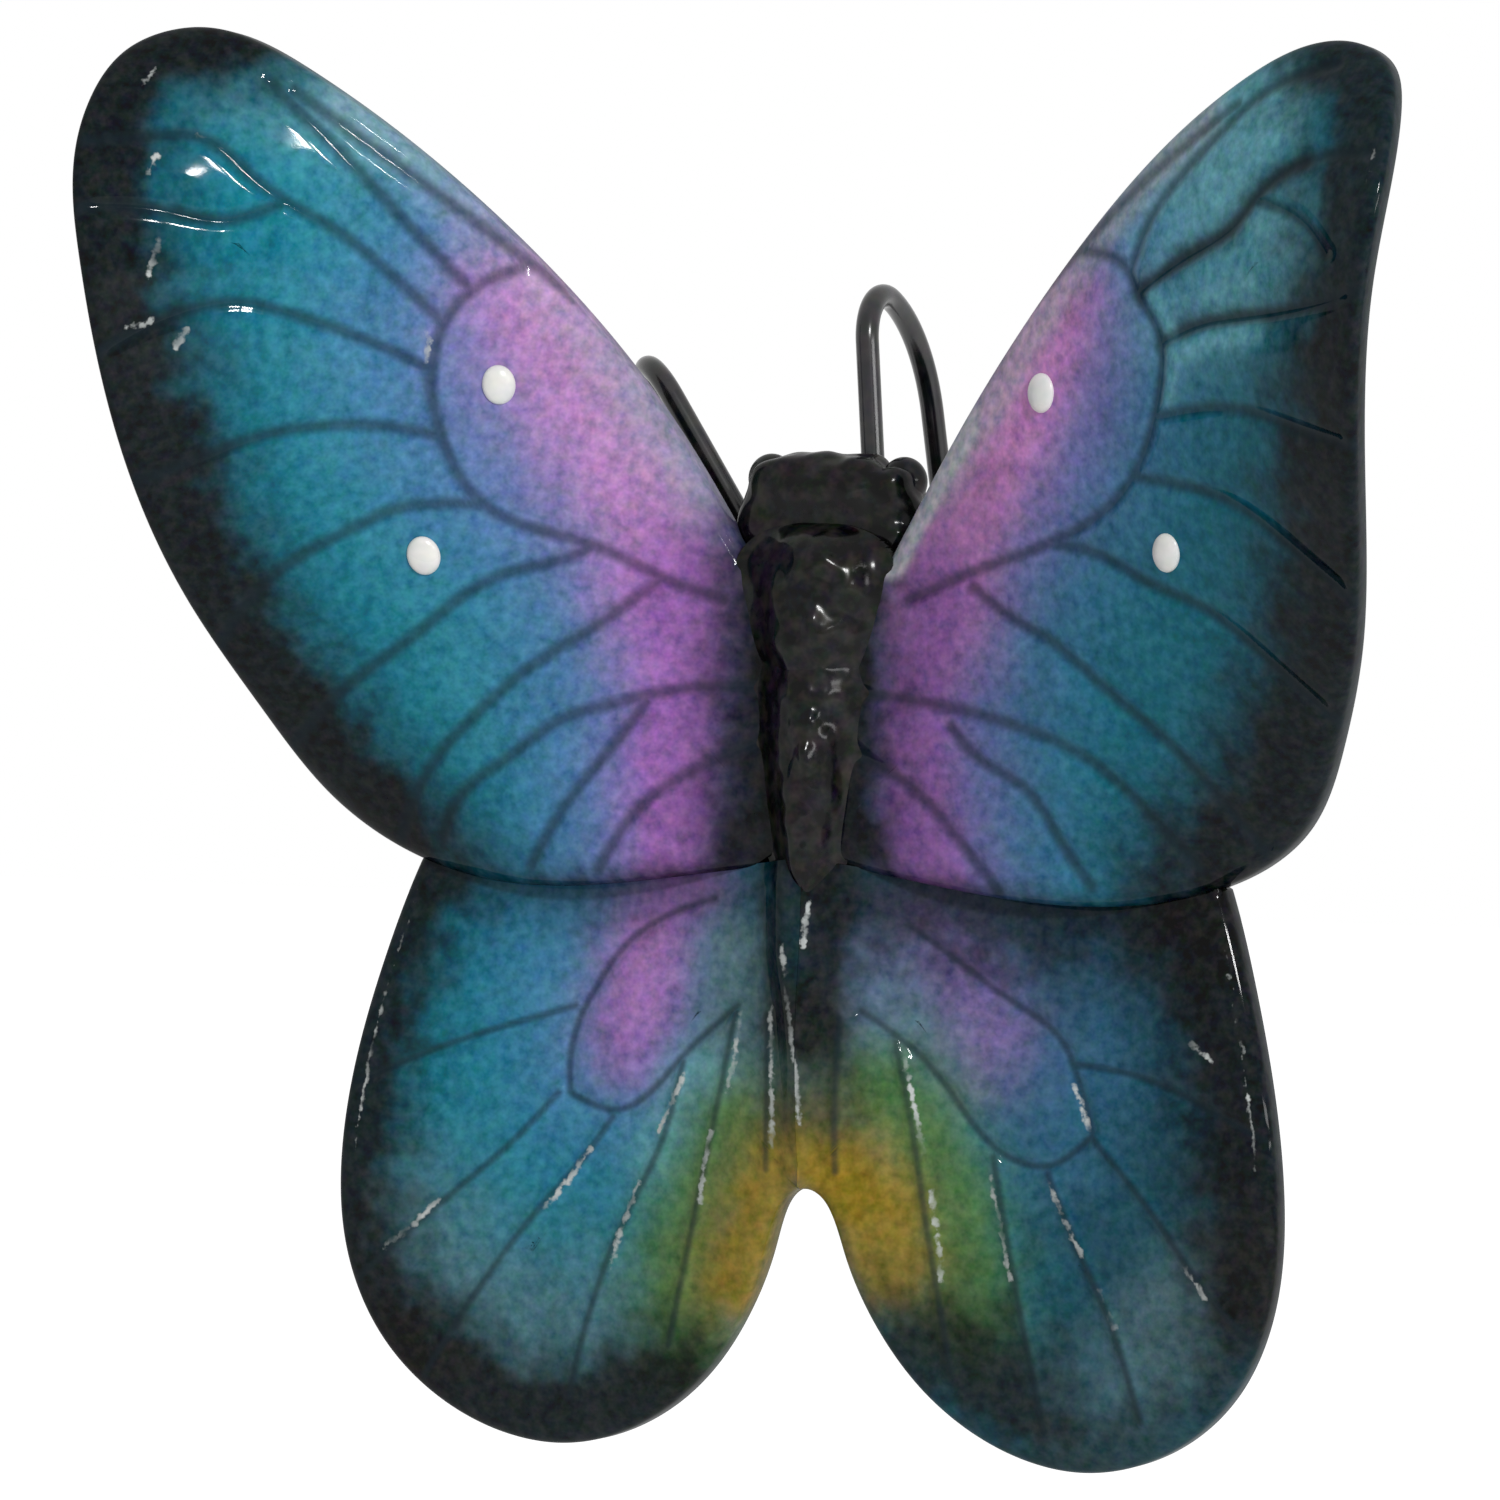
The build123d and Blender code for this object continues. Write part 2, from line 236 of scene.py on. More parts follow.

# Airbrush strokes in the order they were sprayed: colour, opacity, half width and feather of the
# spray in millimetres, and its path (outwards, up). Some of them paint shade, a shadow, a sheen or
# highlights, as marked. The two sides were sprayed by hand.
FORE_STROKES = {
    "left": [
        ("pale_teal", 0.4, 0.8, 3.0, [(24, 37), (30, 41), (36, 44)]),
        ("pale_teal", 0.1, 0.5, 3.4, [(30, 33), (30, 22), (27, 12), (22, 2)]),
        ("deep_teal", 0.3, 3.8, 3.6, [(37, 47), (43, 43), (43, 32), (41, 19), (37, 6), (30, -5)]),
        ("deep_teal", 0.5, 1.3, 2.2, [(30, -6), (22, -9), (12, -9.5)]),
        ("blue", 0.9, 2.6, 4.2, [(22, 34), (25, 27), (22, 18), (17, 12), (15, 4), (14, -8)]),
        ("violet", 0.3, 2.6, 2.6, [(19, 33), (21, 26), (18, 18), (13, 13), (11.5, 4), (11, -8)]),
        ("pink", 0.75, 0.6, 4.4, [(18.5, 30), (16, 24), (12, 17), (9.5, 11)]),
        ("magenta", 1.0, 1.0, 3.3, [(9.5, 11), (8.8, 5), (9.2, -2), (9, -8)]),
        # Painted reflection: a pale sheen along the leading edge
        ("sheen_grey", 0.3, 0.3, 2.0, [(8, 17.5), (15, 27.5), (22, 36), (30, 43)]),
        ("plum", 0.95, 0.0, 3.6, [(4.5, 14), (4.5, 4), (5, -9)]),
        ("black", 0.97, 3.6, 3.6, [
            (38, 50), (45, 47), (47, 40), (46, 31), (44, 20), (41.5, 8), (37, -1), (32, -8),
        ]),
        ("black", 0.9, 0.2, 1.3, [(32, -8), (26, -10), (18, -10.4), (6, -8.8)]),
        ("black", 0.98, 2.6, 3.0, [(0, 16), (0, 0), (1.0, -12)]),
    ],
    "right": [
        # Painted shade: a broad deep teal that lays the right fore wing darker than the left
        ("deep_teal", 0.4, 9.0, 8.0, [(34, 28), (32, 16), (26, 2)]),
        ("pale_teal", 0.8, 2.3, 1.8, [(27, 36), (31, 40), (36, 43.5)]),
        ("pale_teal", 0.75, 1.8, 4.2, [(29, 31.5), (36, 33.5)]),
        ("blue", 0.4, 3.2, 4.3, [(24, 34), (24, 26), (21, 18), (17, 12), (14, 4), (14, -8)]),
        ("violet", 0.6, 1.9, 3.9, [(20, 31), (20, 25), (16, 18), (12.5, 13), (10, 4), (10, -8)]),
        ("magenta", 0.64, 1.0, 1.4, [(18.5, 29), (16, 24), (12, 17), (9.5, 11)]),
        ("pink", 0.95, 1.2, 3.2, [(18, 30), (15.5, 24), (11, 16), (9, 10)]),
        ("magenta", 0.95, 1.1, 2.4, [(9.5, 11), (8, 5), (8, -2), (9, -8)]),
        # Painted reflection: a pale sheen along the leading edge
        ("sheen_grey", 0.6, 1.2, 1.2, [(9, 19), (15, 27.5), (22, 36), (30, 43)]),
        ("plum", 0.35, 6.0, 6.0, [(4.5, 14), (4.5, 4), (5, -9)]),
        ("deep_teal", 0.65, 0.6, 4.6, [(43, 26), (39, 10), (32, -2), (26, -8)]),
        ("black", 0.94, 3.0, 4.8, [
            (42, 49), (46.5, 45), (47, 40), (46, 31), (44, 20), (41.5, 8), (37, -1), (31, -8),
        ]),
        ("black", 0.8, 0.0, 0.9, [(26, 31.3), (30, 33.5), (34, 35.5), (36, 37.5), (39.5, 39.5)]),
        ("black", 0.7, 0.0, 0.8, [(28, 28), (31, 29), (35.5, 29.5), (40, 30)]),
        # Painted highlights: thin pale lines on the lit lips beside the third vein and the cell's
        # edge
        ("pale_teal", 0.75, 0.15, 0.6, [(29.2, 27.1), (32, 27.9), (36, 28.4)]),
        ("pale_teal", 0.7, 0.1, 0.5, [(27.2, 31), (28.6, 28.6), (28.8, 26.4), (28.3, 24)]),
        ("black", 0.7, 0.2, 1.2, [(31, -8), (26, -10), (18, -10.4), (6, -8.8)]),
        ("black", 0.98, 3.2, 3.4, [(0, 12), (0, 0), (1.0, -12)]),
        # Painted reflection: a pale sheen on the leading edge's rim beside the head
        ("sheen_grey", 0.92, 1.3, 0.5, [(5.3, 13.6), (8.2, 18.6), (10.8, 22.6)]),
    ],
}
HIND_STROKES = {
    "left": [
        # Painted reflection: a broad sheen over the lower lobe
        ("slate_and_sheen", 0.7, 2.2, 6.8, [(30, -36), (24, -41), (14, -42)]),
        ("blue", 0.6, 4.8, 4.7, [(14, -9), (15, -14), (14, -21)]),
        ("magenta", 0.8, 0.5, 3.4, [(9, -9), (11.5, -13), (12.5, -17), (13, -20)]),
        ("violet", 0.3, 0.8, 2.4, [(8.5, -16), (9, -22)]),
        ("pink", 0.3, 0.8, 2.2, [(11.5, -14.5), (12, -17)]),
        ("slate_and_sheen", 0.9, 1.2, 2.6, [(4.5, -14), (5, -19), (6.5, -24)]),
        ("pale_teal", 0.6, 0.6, 2.2, [(8, -23), (10, -28)]),
        ("green", 0.85, 0.8, 3.4, [(5, -26), (8, -31), (9, -36), (8.5, -41)]),
        ("gold", 0.92, 0.5, 3.2, [(0.3, -27), (3, -31), (4.8, -36.5)]),
        ("olive", 0.8, 0.4, 2.0, [(0.6, -18), (0.6, -24)]),
        ("black", 0.9, 0.9, 2.0, [(0.8, -8), (0.8, -13), (0.3, -18)]),
        ("black", 0.95, 2.2, 3.8, [(29, -7), (31.5, -14), (34, -28), (34, -36), (31, -42.5)]),
        ("black", 0.95, 2.6, 3.6, [(29, -43.5), (23, -47), (16, -47.5), (10, -45)]),
        # Painted shadow: a dark band along the hind wing's top under the fore wing's edge
        ("black", 0.5, 0.3, 2.6, [(31, -8), (24, -9.6), (18, -10.2), (6, -8.8), (0, -8)]),
    ],
    "right": [
        # Painted shade: a broad deep teal that lays the right hind wing darker than the left
        ("deep_teal", 0.85, 6.5, 8.0, [(27, -12), (24, -22), (26, -30)]),
        # Painted reflection: a broad sheen over the lower lobe
        ("slate_and_sheen", 0.7, 2.2, 2.6, [(29, -36), (24, -41), (20, -45)]),
        ("deep_teal", 0.5, 1.5, 3.5, [(14, -42), (19, -41)]),
        ("blue", 0.35, 5.0, 3.8, [(13, -9), (15, -15), (15, -22)]),
        ("magenta", 0.55, 0.6, 3.6, [(8.5, -12), (11, -16), (12, -19)]),
        ("slate_and_sheen", 0.7, 0.8, 3.0, [(4, -14), (6, -18), (9, -22)]),
        ("violet", 0.25, 0.8, 2.4, [(3.5, -13), (4, -18)]),
        ("green", 0.85, 0.8, 3.4, [(5.5, -23), (9.5, -28), (11, -33), (11.5, -38)]),
        ("gold", 0.92, 0.5, 3.2, [(0.3, -27), (3.5, -30)]),
        ("gold", 0.9, 1.0, 3.0, [(3, -29), (5, -31), (6, -35)]),
        ("olive", 0.8, 0.6, 2.4, [(0.8, -18), (1.6, -24)]),
        ("black", 0.9, 1.2, 4.0, [(7.5, -41), (11, -41), (14, -43)]),
        ("black", 0.9, 0.9, 2.2, [(0.8, -8), (1.0, -14), (0.5, -19)]),
        ("black", 0.94, 3.4, 4.0, [(29, -7), (31.5, -14), (34, -28), (34.5, -34)]),
        ("black", 0.7, 1.4, 3.2, [(34, -34), (31, -42.5), (25.6, -47), (19, -48.5)]),
        # Painted shadow: a dark band along the hind wing's top under the fore wing's edge
        ("black", 0.85, 1.0, 5.0, [(31, -8), (24, -9.6), (18, -10.2), (6, -8.8), (0, -8)]),
    ],
}

# Dots in millimetres (outwards, up), and each hook's foot and leg in millimetres and its lean
# and splay in degrees
DOT_PLACES = {
    "right": [(17.66, 24.53), (27.65, 14.02)],
    "left": [(20.75, 24.19), (25.85, 12.43)],
}
HOOKS = {"right": (2.1, 18.3, -5, 4), "left": (4.4, 16.9, 33, 28)}


def curve_points(points, count):
    """A natural cubic through the points by chord length, as count points along it."""
    points = np.array(points, float)
    steps = np.linalg.norm(np.diff(points, axis=0), axis=1)
    knots = np.concatenate([[0.0], np.cumsum(steps)])
    size = len(points)
    matrix = np.eye(size)
    target = np.zeros_like(points)
    for i in range(1, size - 1):
        before, after = steps[i - 1], steps[i]
        matrix[i, i - 1: i + 2] = before, 2 * (before + after), after
        slopes = (points[i + 1] - points[i]) / after - (points[i] - points[i - 1]) / before
        target[i] = 6 * slopes
    bends = np.linalg.solve(matrix, target)
    places = np.linspace(0.0, knots[-1], count)
    left = np.clip(np.searchsorted(knots, places, side="right") - 1, 0, size - 2)
    width = steps[left][:, None]
    ahead = ((places - knots[left])[:, None]) / width
    behind = 1 - ahead
    curve = (behind**3 - behind) * bends[left] + (ahead**3 - ahead) * bends[left + 1]
    return behind * points[left] + ahead * points[left + 1] + curve * width**2 / 6


def path_gap(places, path):
    """Distance from each place to a path of points."""
    best = np.full(len(places), np.inf)
    for start, end in zip(path[:-1], path[1:]):
        along = end - start
        reach = places - start
        share = np.clip(reach @ along / max(along @ along, 1e-12), 0, 1)
        best = np.minimum(best, np.linalg.norm(reach - share[:, None] * along, axis=1))
    return best


def smooth_step(low, high, value):
    """0 below low, 1 above high and a smooth rise between them."""
    share = np.clip((value - low) / (high - low), 0, 1)
    return share * share * (3 - 2 * share)


def bell(value):
    """1 at zero, falling off smoothly to both sides."""
    return np.exp(-(value**2))


def net_height(net, plan, across, up):
    """Height of a bicubic control net over its plan."""
    reach, low, high = plan

    def weights(share):
        rest = 1 - share
        return np.stack([rest**3, 3 * share * rest**2, 3 * share**2 * rest, share**3], -1)

    rows = weights(across / reach)
    columns = weights((up - low) / (high - low))
    return np.einsum("pi,pj,ij->p", rows, columns, np.array(net, float))


def resample(points, rounds, count):
    """Points at count equal steps round a closed outline, with the rim's roundness at each."""
    closed = np.vstack([points, points[:1]])
    rounds = np.append(rounds, rounds[0])
    steps = np.linalg.norm(np.diff(closed, axis=0), axis=1)
    lengths = np.concatenate([[0.0], np.cumsum(steps)])
    places = np.linspace(0.0, lengths[-1], count + 1)
    outline = np.stack([np.interp(places, lengths, closed[:, i]) for i in range(2)], -1)
    return outline, np.interp(places, lengths, rounds)


def fore_outline(count):
    """Outline of a fore wing from the middle of its root, over the tip and back."""
    margin = curve_points(FORE_MARGIN, MARGIN_POINTS)
    root_middle = np.array([(0.0, (FORE_ROOT_TOP[1] + FORE_MARGIN[-1][1]) / 2)])
    points = np.vstack([root_middle, [FORE_ROOT_TOP], margin])
    rounds = np.ones(len(points))
    rounds[:2] = 0
    rounds[-1] = 0
    return resample(points, rounds, count)


def hind_outline(count):
    """Outline of a hind wing from the middle of its root, under the fore wing's edge and back."""
    lower = curve_points(FORE_MARGIN[FORE_LOWER_EDGE_FROM:], LOWER_EDGE_POINTS)[::-1]
    margin = curve_points(HIND_MARGIN, MARGIN_POINTS)
    edge = np.interp(margin[:, 0], lower[:, 0], lower[:, 1])
    outer = margin[(margin[:, 1] < edge) | (margin[:, 1] < WELL_BELOW_EDGE)]
    top = lower[lower[:, 0] < outer[0, 0] - CORNER_GAP] + (0.0, UNDERLAP)
    root_middle = np.array([(0.0, (top[0, 1] + HIND_MARGIN[-1][1]) / 2)])
    points = np.vstack([root_middle, top, outer])
    rounds = np.concatenate([np.zeros(1 + len(top)), np.ones(len(outer))])
    rounds[-1] = 0
    return resample(points, rounds, count)


class Wing:
    """What sets one kind of wing apart: outline, surface, veins, strokes and mesh fineness."""

    def __init__(self, outline, spine, surface, veins, raised, ink, highlights_and_wear, strokes, fineness):
        self.outline = outline
        self.spine = np.array(spine, float)
        self.net, self.plan, self.forward = surface
        self.veins = veins
        self.raised = raised
        self.ink = ink
        self.highlights_and_wear = highlights_and_wear
        self.strokes = strokes
        self.segments, self.front_rows, self.rim_rows, self.back_rows = fineness

    def middle(self, across, up, root_depth):
        """Depth of the wing's middle surface."""
        return -root_depth - self.forward * net_height(self.net, self.plan, across, up)


FORE_WING = Wing(
    outline=fore_outline, spine=[(10, 3), (36, 33)], surface=(FORE_LIFT, FORE_PLAN, 1.0),
    veins=FORE_VEINS, raised=(), ink=1.0, highlights_and_wear=FORE_HIGHLIGHTS_AND_WEAR, strokes=FORE_STROKES,
    fineness=(760, 88, 12, 10),
)
HIND_WING = Wing(
    outline=hind_outline, spine=[(8, -18), (20, -35)], surface=(HIND_SWEEP, HIND_PLAN, -1.0),
    veins=HIND_VEINS, raised=("second", "third", "fourth", "fifth", "sixth"), ink=1.7,
    highlights_and_wear=HIND_HIGHLIGHTS_AND_WEAR, strokes=HIND_STROKES, fineness=(640, 88, 12, 10),
)


def new_object(node, bm, material):
    """Finishes a bmesh as a piece that rides on the body and stands for a solid."""
    name = f"{node}_painted"
    mesh = bpy.data.meshes.new(name)
    bm.to_mesh(mesh)
    bm.free()
    mesh.polygons.foreach_set("use_smooth", [True] * len(mesh.polygons))
    mesh.materials.append(material)
    piece = bpy.data.objects.new(name, mesh)
    bpy.context.scene.collection.objects.link(piece)
    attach(piece, "root")
    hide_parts(node)
    return piece


def vein_relief(wing, side, places, settings):
    """Height of the veined front in millimetres, and the gaps to the ink and to the painted
    highlights.
    """
    width = settings.vein_width / MM
    gaps = {
        name: path_gap(places, curve_points(points, 5 * len(points)))
        for name, points in wing.veins[side].items()
    }
    scored = np.min([gap for name, gap in gaps.items() if name not in wing.raised], axis=0)
    nearest = np.min(list(gaps.values()), axis=0)
    height = settings.pillow_height * (1 - bell(nearest / settings.pillow_reach * MM))
    height -= settings.vein_depth * bell(scored / width)
    if wing.raised:
        raised = np.min([gaps[name] for name in wing.raised], axis=0)
        height += settings.vein_rise * bell(raised / width)
    highlight_and_wear = np.min([path_gap(places, np.array(path, float)) for path in wing.highlights_and_wear[side]], axis=0)
    return height / MM, wing.ink * nearest, highlight_and_wear


def tail_ridge(side, places, settings):
    """Height in millimetres of the crooked ridge from the tail to the hind wings' fork."""
    line = np.array(RIDGE_LINE)
    across = places[:, 0] * SIDES[side]
    middle = np.interp(-places[:, 1], -line[:, 1], line[:, 0])
    foot, top = line[-1, 1], line[1, 1]
    along = 1 - np.clip((top - places[:, 1]) / (top - foot), 0, 1) ** 2
    aside = (across - middle) / (settings.ridge_width / MM)
    return settings.ridge_height / MM * along * bell(aside)


def brushed_ripple(places, size, seed):
    """Uneven thickness of brushed-on lacquer, about -1 to 1."""
    return np.array([noise.noise(Vector((x / size, z / size, seed))) for x, z in places])


def sprayed(wing, side, places, settings):
    """Colour of the airbrushed front at each place, painted shade, shadow, sheen and highlights
    included.
    """
    paint = np.tile(np.array(settings.teal, float), (len(places), 1))
    ragged = brushed_ripple(places, 2.2, 5.0) + 0.5 * brushed_ripple(places, 0.9, 11.0)
    for colour, opacity, half_width, feather, path in wing.strokes[side]:
        spatter = BLACK_SPATTER if colour == "black" else SPATTER
        gap = path_gap(places, curve_points(path, 4 * len(path))) + spatter * feather * ragged
        cover = opacity * bell(np.maximum(0, gap - half_width) / feather)
        paint += cover[:, None] * (np.array(getattr(settings, colour), float) - paint)
    return paint


def wing_surface(wing, side, places, outline, rounds, depth_in, settings):
    """Height of the front in millimetres, and the gaps to the ink and to the painted highlights."""
    relief, vein_gap, highlight_and_wear_gap = vein_relief(wing, side, places, settings)
    rim_fade = 0.25 + 0.75 * smooth_step(0.0, 2.0, depth_in)
    to_rim = path_gap(places, outline[rounds > 0.5][::4])
    margin_width = settings.margin_width / MM
    roll = np.clip(1 - to_rim / margin_width, 0, 1) ** 2
    margin = bell(to_rim / (2 * margin_width))
    lumps = brushed_ripple(places, settings.lump_size / MM, LUMP_SEEDS[side])
    surface = rim_fade * relief - settings.margin_roll / MM * roll
    surface += settings.lump_height / MM * (0.3 + 0.7 * margin) * lumps
    if wing is HIND_WING:
        surface += tail_ridge(side, places, settings)
    return surface, vein_gap, highlight_and_wear_gap


def build_wing(wing, side, name, material, settings):
    """One wing: a sheet wrapped round the outline, closed along the spine on both faces."""
    segments = wing.segments
    row_count = wing.front_rows + wing.rim_rows + wing.back_rows
    bm = bmesh.new()
    bmesh.ops.create_grid(bm, x_segments=segments, y_segments=row_count, size=0.5)
    sheet = np.array([vert.co for vert in bm.verts])
    column = np.rint((sheet[:, 0] + 0.5) * segments).astype(int)
    row = np.rint((sheet[:, 1] + 0.5) * row_count).astype(int)

    outline, rounds = wing.outline(segments)
    swing = 0.5 - 0.5 * np.cos(2 * np.pi * np.arange(segments + 1) / segments)
    spine = wing.spine[0] + swing[:, None] * (wing.spine[1] - wing.spine[0])
    reach = np.linalg.norm(spine - outline, axis=1)
    inward = (spine - outline) / reach[:, None]
    radius = np.maximum(settings.rim_round / MM * rounds, SHARP_RIM)

    # Each row's share of the way from the rim in to the spine, and its turn over the rim
    inset = np.concatenate([
        np.linspace(1, 0, wing.front_rows + 1),
        np.zeros(wing.rim_rows - 1),
        np.linspace(0, 1, wing.back_rows + 1),
    ])
    turn = np.concatenate([
        np.zeros(wing.front_rows + 1),
        (np.arange(1, wing.rim_rows)) / wing.rim_rows * np.pi,
        np.full(wing.back_rows + 1, np.pi),
    ])
    turn[wing.front_rows + wing.rim_rows // 2] -= OFF_QUARTER_TURN

    turn = turn[row]
    depth_in = radius[column] * (1 - np.sin(turn)) + inset[row] * (reach[column] - radius[column])
    places = outline[column] + inward[column] * depth_in[:, None]
    places[:, 0] = np.maximum(places[:, 0], 0.0)
    flat = settings.wing_thickness / MM / 2 - radius[column]
    offset = -np.sign(np.cos(turn)) * flat - radius[column] * np.cos(turn)
    surface, vein_gap, highlight_and_wear_gap = wing_surface(
        wing, side, places, outline, rounds, depth_in, settings
    )
    front = np.where(turn < np.pi / 2, np.cos(turn) ** 2, 0)
    depth = wing.middle(places[:, 0], places[:, 1], settings.root_depth / MM) + offset
    depth -= front * surface
    final = np.stack([SIDES[side] * places[:, 0], depth, places[:, 1]], -1) * MM

    paint_layer = bm.verts.layers.float_color.new("paint")
    vein_layer = bm.verts.layers.float.new("vein_gap")
    highlight_and_wear_layer = bm.verts.layers.float.new("highlight_and_wear_gap")
    paint = sprayed(wing, side, places, settings)
    back = smooth_step(np.pi * 0.45, np.pi * 0.75, turn)
    paint += back[:, None] * (np.array(settings.back, float) - paint)
    vein_gap = np.minimum(vein_gap + FAR * back, FAR)
    highlight_and_wear_gap = np.minimum(highlight_and_wear_gap + turn, FAR)
    for vert, place, colour, vein, highlight_and_wear in zip(bm.verts, final, paint, vein_gap, highlight_and_wear_gap):
        vert.co = place
        vert[paint_layer] = (*colour, 1.0)
        vert[vein_layer] = vein
        vert[highlight_and_wear_layer] = highlight_and_wear
    bmesh.ops.remove_doubles(bm, verts=bm.verts[:], dist=MERGE_DISTANCE)
    bmesh.ops.recalc_face_normals(bm, faces=bm.faces[:])
    piece = new_object(name, bm, material)
    piece.data.set_sharp_from_angle(angle=math.radians(60))


def build_wings(wing, kind, settings):
    """Both wings of a kind."""
    material = shared_material("airbrushed_wing", wing_material, settings)
    for side in SIDES:
        build_wing(wing, side, f"{side}_{kind}", material, settings)


def rounded_block(half_sizes, cuts, power):
    """A block with evenly rounded faces and edges; a higher power is squarer."""
    bm = bmesh.new()
    bmesh.ops.create_cube(bm, size=2.0)
    bmesh.ops.subdivide_edges(bm, edges=bm.edges[:], cuts=cuts, use_grid_fill=True)
    for vert in bm.verts:
        reach = sum(abs(value) ** power for value in vert.co) ** (1 / power)
        vert.co = vert.co / reach
    bmesh.ops.scale(bm, vec=half_sizes, verts=bm.verts[:])
    return bm


def ball(half_sizes, segments, rings):
    """A round lump with its poles above and below."""
    bm = bmesh.new()
    bmesh.ops.create_uvsphere(bm, u_segments=segments, v_segments=rings, radius=1.0)
    bmesh.ops.scale(bm, vec=half_sizes, verts=bm.verts[:])
    return bm


def of_kind(items, kind):
    """The verts or edges among the results of an operator."""
    return [item for item in items if isinstance(item, kind)]


def cut_back(bm, depth):
    """Cuts a lump off flat behind a depth and closes it."""
    geometry = bm.verts[:] + bm.edges[:] + bm.faces[:]
    cut = bmesh.ops.bisect_plane(
        bm, geom=geometry, plane_co=(0, depth, 0), plane_no=(0, 1, 0), clear_outer=True
    )
    bmesh.ops.edgeloop_fill(bm, edges=of_kind(cut["geom_cut"], bmesh.types.BMEdge))
    bmesh.ops.recalc_face_normals(bm, faces=bm.faces[:])


def swell(value, centre, width):
    """A soft bump of height 1 round a centre."""
    return math.exp(-(((value - centre) / width) ** 2))


def wrinkle(bm, size, height):
    """Pushes a lump's skin in and out by a smooth noise."""
    bm.normal_update()
    for vert in bm.verts:
        vert.co += height * noise.noise(vert.co / size) * vert.normal


def build_head(settings, material):
    """A squarish head that widens to its neck, with a dip inside the right eye."""
    half = Vector((settings.head_width, settings.head_depth, settings.head_height)) / 2
    bm = rounded_block(half, cuts=39, power=3.4)
    for vert in bm.verts:
        across, depth, up = (value / size for value, size in zip(vert.co, half))
        vert.co.x *= 1.08 + 0.14 * float(smooth_step(-0.5, 0.6, -up))
        dip = swell(across, 0.66, 0.14) * max(0.0, up)
        brow = swell(up, 0.4, 0.3) * swell(across, 0.1, 0.5) * max(0.0, -depth)
        groove = swell(up, -0.2, 0.2) * max(0.0, -depth)
        vert.co.z -= settings.head_dip * dip
        vert.co.y += settings.head_groove * groove - settings.head_brow * brow
    for size, height in HEAD_WRINKLES:
        wrinkle(bm, size * MM, height * MM)
    middle = (0, -settings.head_middle_depth, settings.head_top - settings.head_height / 2)
    bmesh.ops.translate(bm, verts=bm.verts[:], vec=middle)
    new_object("head", bm, material)


def build_eye(side, settings, material):
    """An eye ball, a little taller than wide, on an upper corner of the head."""
    radius = settings.eye_diameter / 2
    bm = ball((radius * 0.97, radius, radius * 1.03), 40, 24)
    across = SIDES[side] * settings.eye_spread / 2
    depth = settings.eye_setback - settings.head_middle_depth
    place = (across, depth, settings.head_top - settings.eye_below_top)
    bmesh.ops.translate(bm, verts=bm.verts[:], vec=place)
    new_object(f"{side}_eye", bm, material)


def body_lump(node, top, height, width, bulge, crest, ends, wrinkles, settings, material, wings):
    """A lump on the wing roots whose flanks run out on the wings, closed flat inside them.

    Its half width is a function of the share of its height; a higher crest is sharper. The ends,
    upper and lower, are blunter the higher. Wrinkles are given by size, height and upward stretch.
    """
    half = height / 2
    bm = ball((1.0, 1.0, half), 160, 140)
    for vert in bm.verts:
        up = vert.co.z / half
        ring = math.sqrt(max(1e-9, 1 - up * up))
        end = max(0.0, 1 - abs(up) ** (ends[0] if up > 0 else ends[1])) ** 0.7
        across = max(-1.0, min(1.0, vert.co.x / ring))
        rear = vert.co.y >= 0
        vert.co.x = across * end**0.6 * width((up + 1) / 2)
        vert.co.z += top - half
        if rear:
            vert.co.y = 0
            continue
        place = np.array([abs(vert.co.x), vert.co.z]) / MM
        middle = FORE_WING.middle(place[:1], place[1:], wings.root_depth / MM)[0] * MM
        rise = math.cos(across * math.pi / 2) ** crest * end
        skin = MM * sum(
            depth * noise.noise(Vector((vert.co.x, 0, vert.co.z / stretch)) / (size * MM))
            for size, depth, stretch in wrinkles
        )
        flank = middle - wings.wing_thickness / 2 + settings.flank_sink
        vert.co.y = flank - (bulge + skin) * rise
    cut_back(bm, -wings.root_depth)
    new_object(node, bm, material)


def build_thorax(settings, material, wings):
    """A domed thorax that narrows and runs out over the abdomen, with rough furrows."""
    def width(share):
        return settings.thorax_width / 2 * (0.84 + 0.36 * float(smooth_step(0.0, 0.7, share)))

    body_lump(
        "thorax", settings.thorax_centre_height + settings.thorax_height / 2,
        settings.thorax_height + settings.waist_overlap, width, settings.thorax_bulge,
        crest=1.7, ends=(4, 2), wrinkles=THORAX_WRINKLES,
        settings=settings, material=material, wings=wings,
    )


def build_abdomen(settings, material, wings):
    """A carrot-shaped abdomen with a soft crest down its front."""
    def width(share):
        return settings.abdomen_width / 2 * (0.84 + 0.85 * share)

    body_lump(
        "abdomen", settings.abdomen_top, settings.abdomen_top + settings.tail_drop, width,
        settings.abdomen_bulge, crest=2.0, ends=(4, 2.6), wrinkles=ABDOMEN_WRINKLES,
        settings=settings, material=material, wings=wings,
    )


def round_edges(bm, edges, radius, segments):
    """Rounds edges to a radius."""
    bmesh.ops.bevel(
        bm, geom=edges, offset=radius, offset_type="OFFSET", affect="EDGES", segments=segments,
        profile=0.5, material=-1,
    )


def lay_back(bm):
    """Turns a shape that was made facing up so that it faces to the back."""
    quarter = Matrix.Rotation(-math.pi / 2, 3, "X")
    bmesh.ops.rotate(bm, verts=bm.verts[:], cent=(0, 0, 0), matrix=quarter)


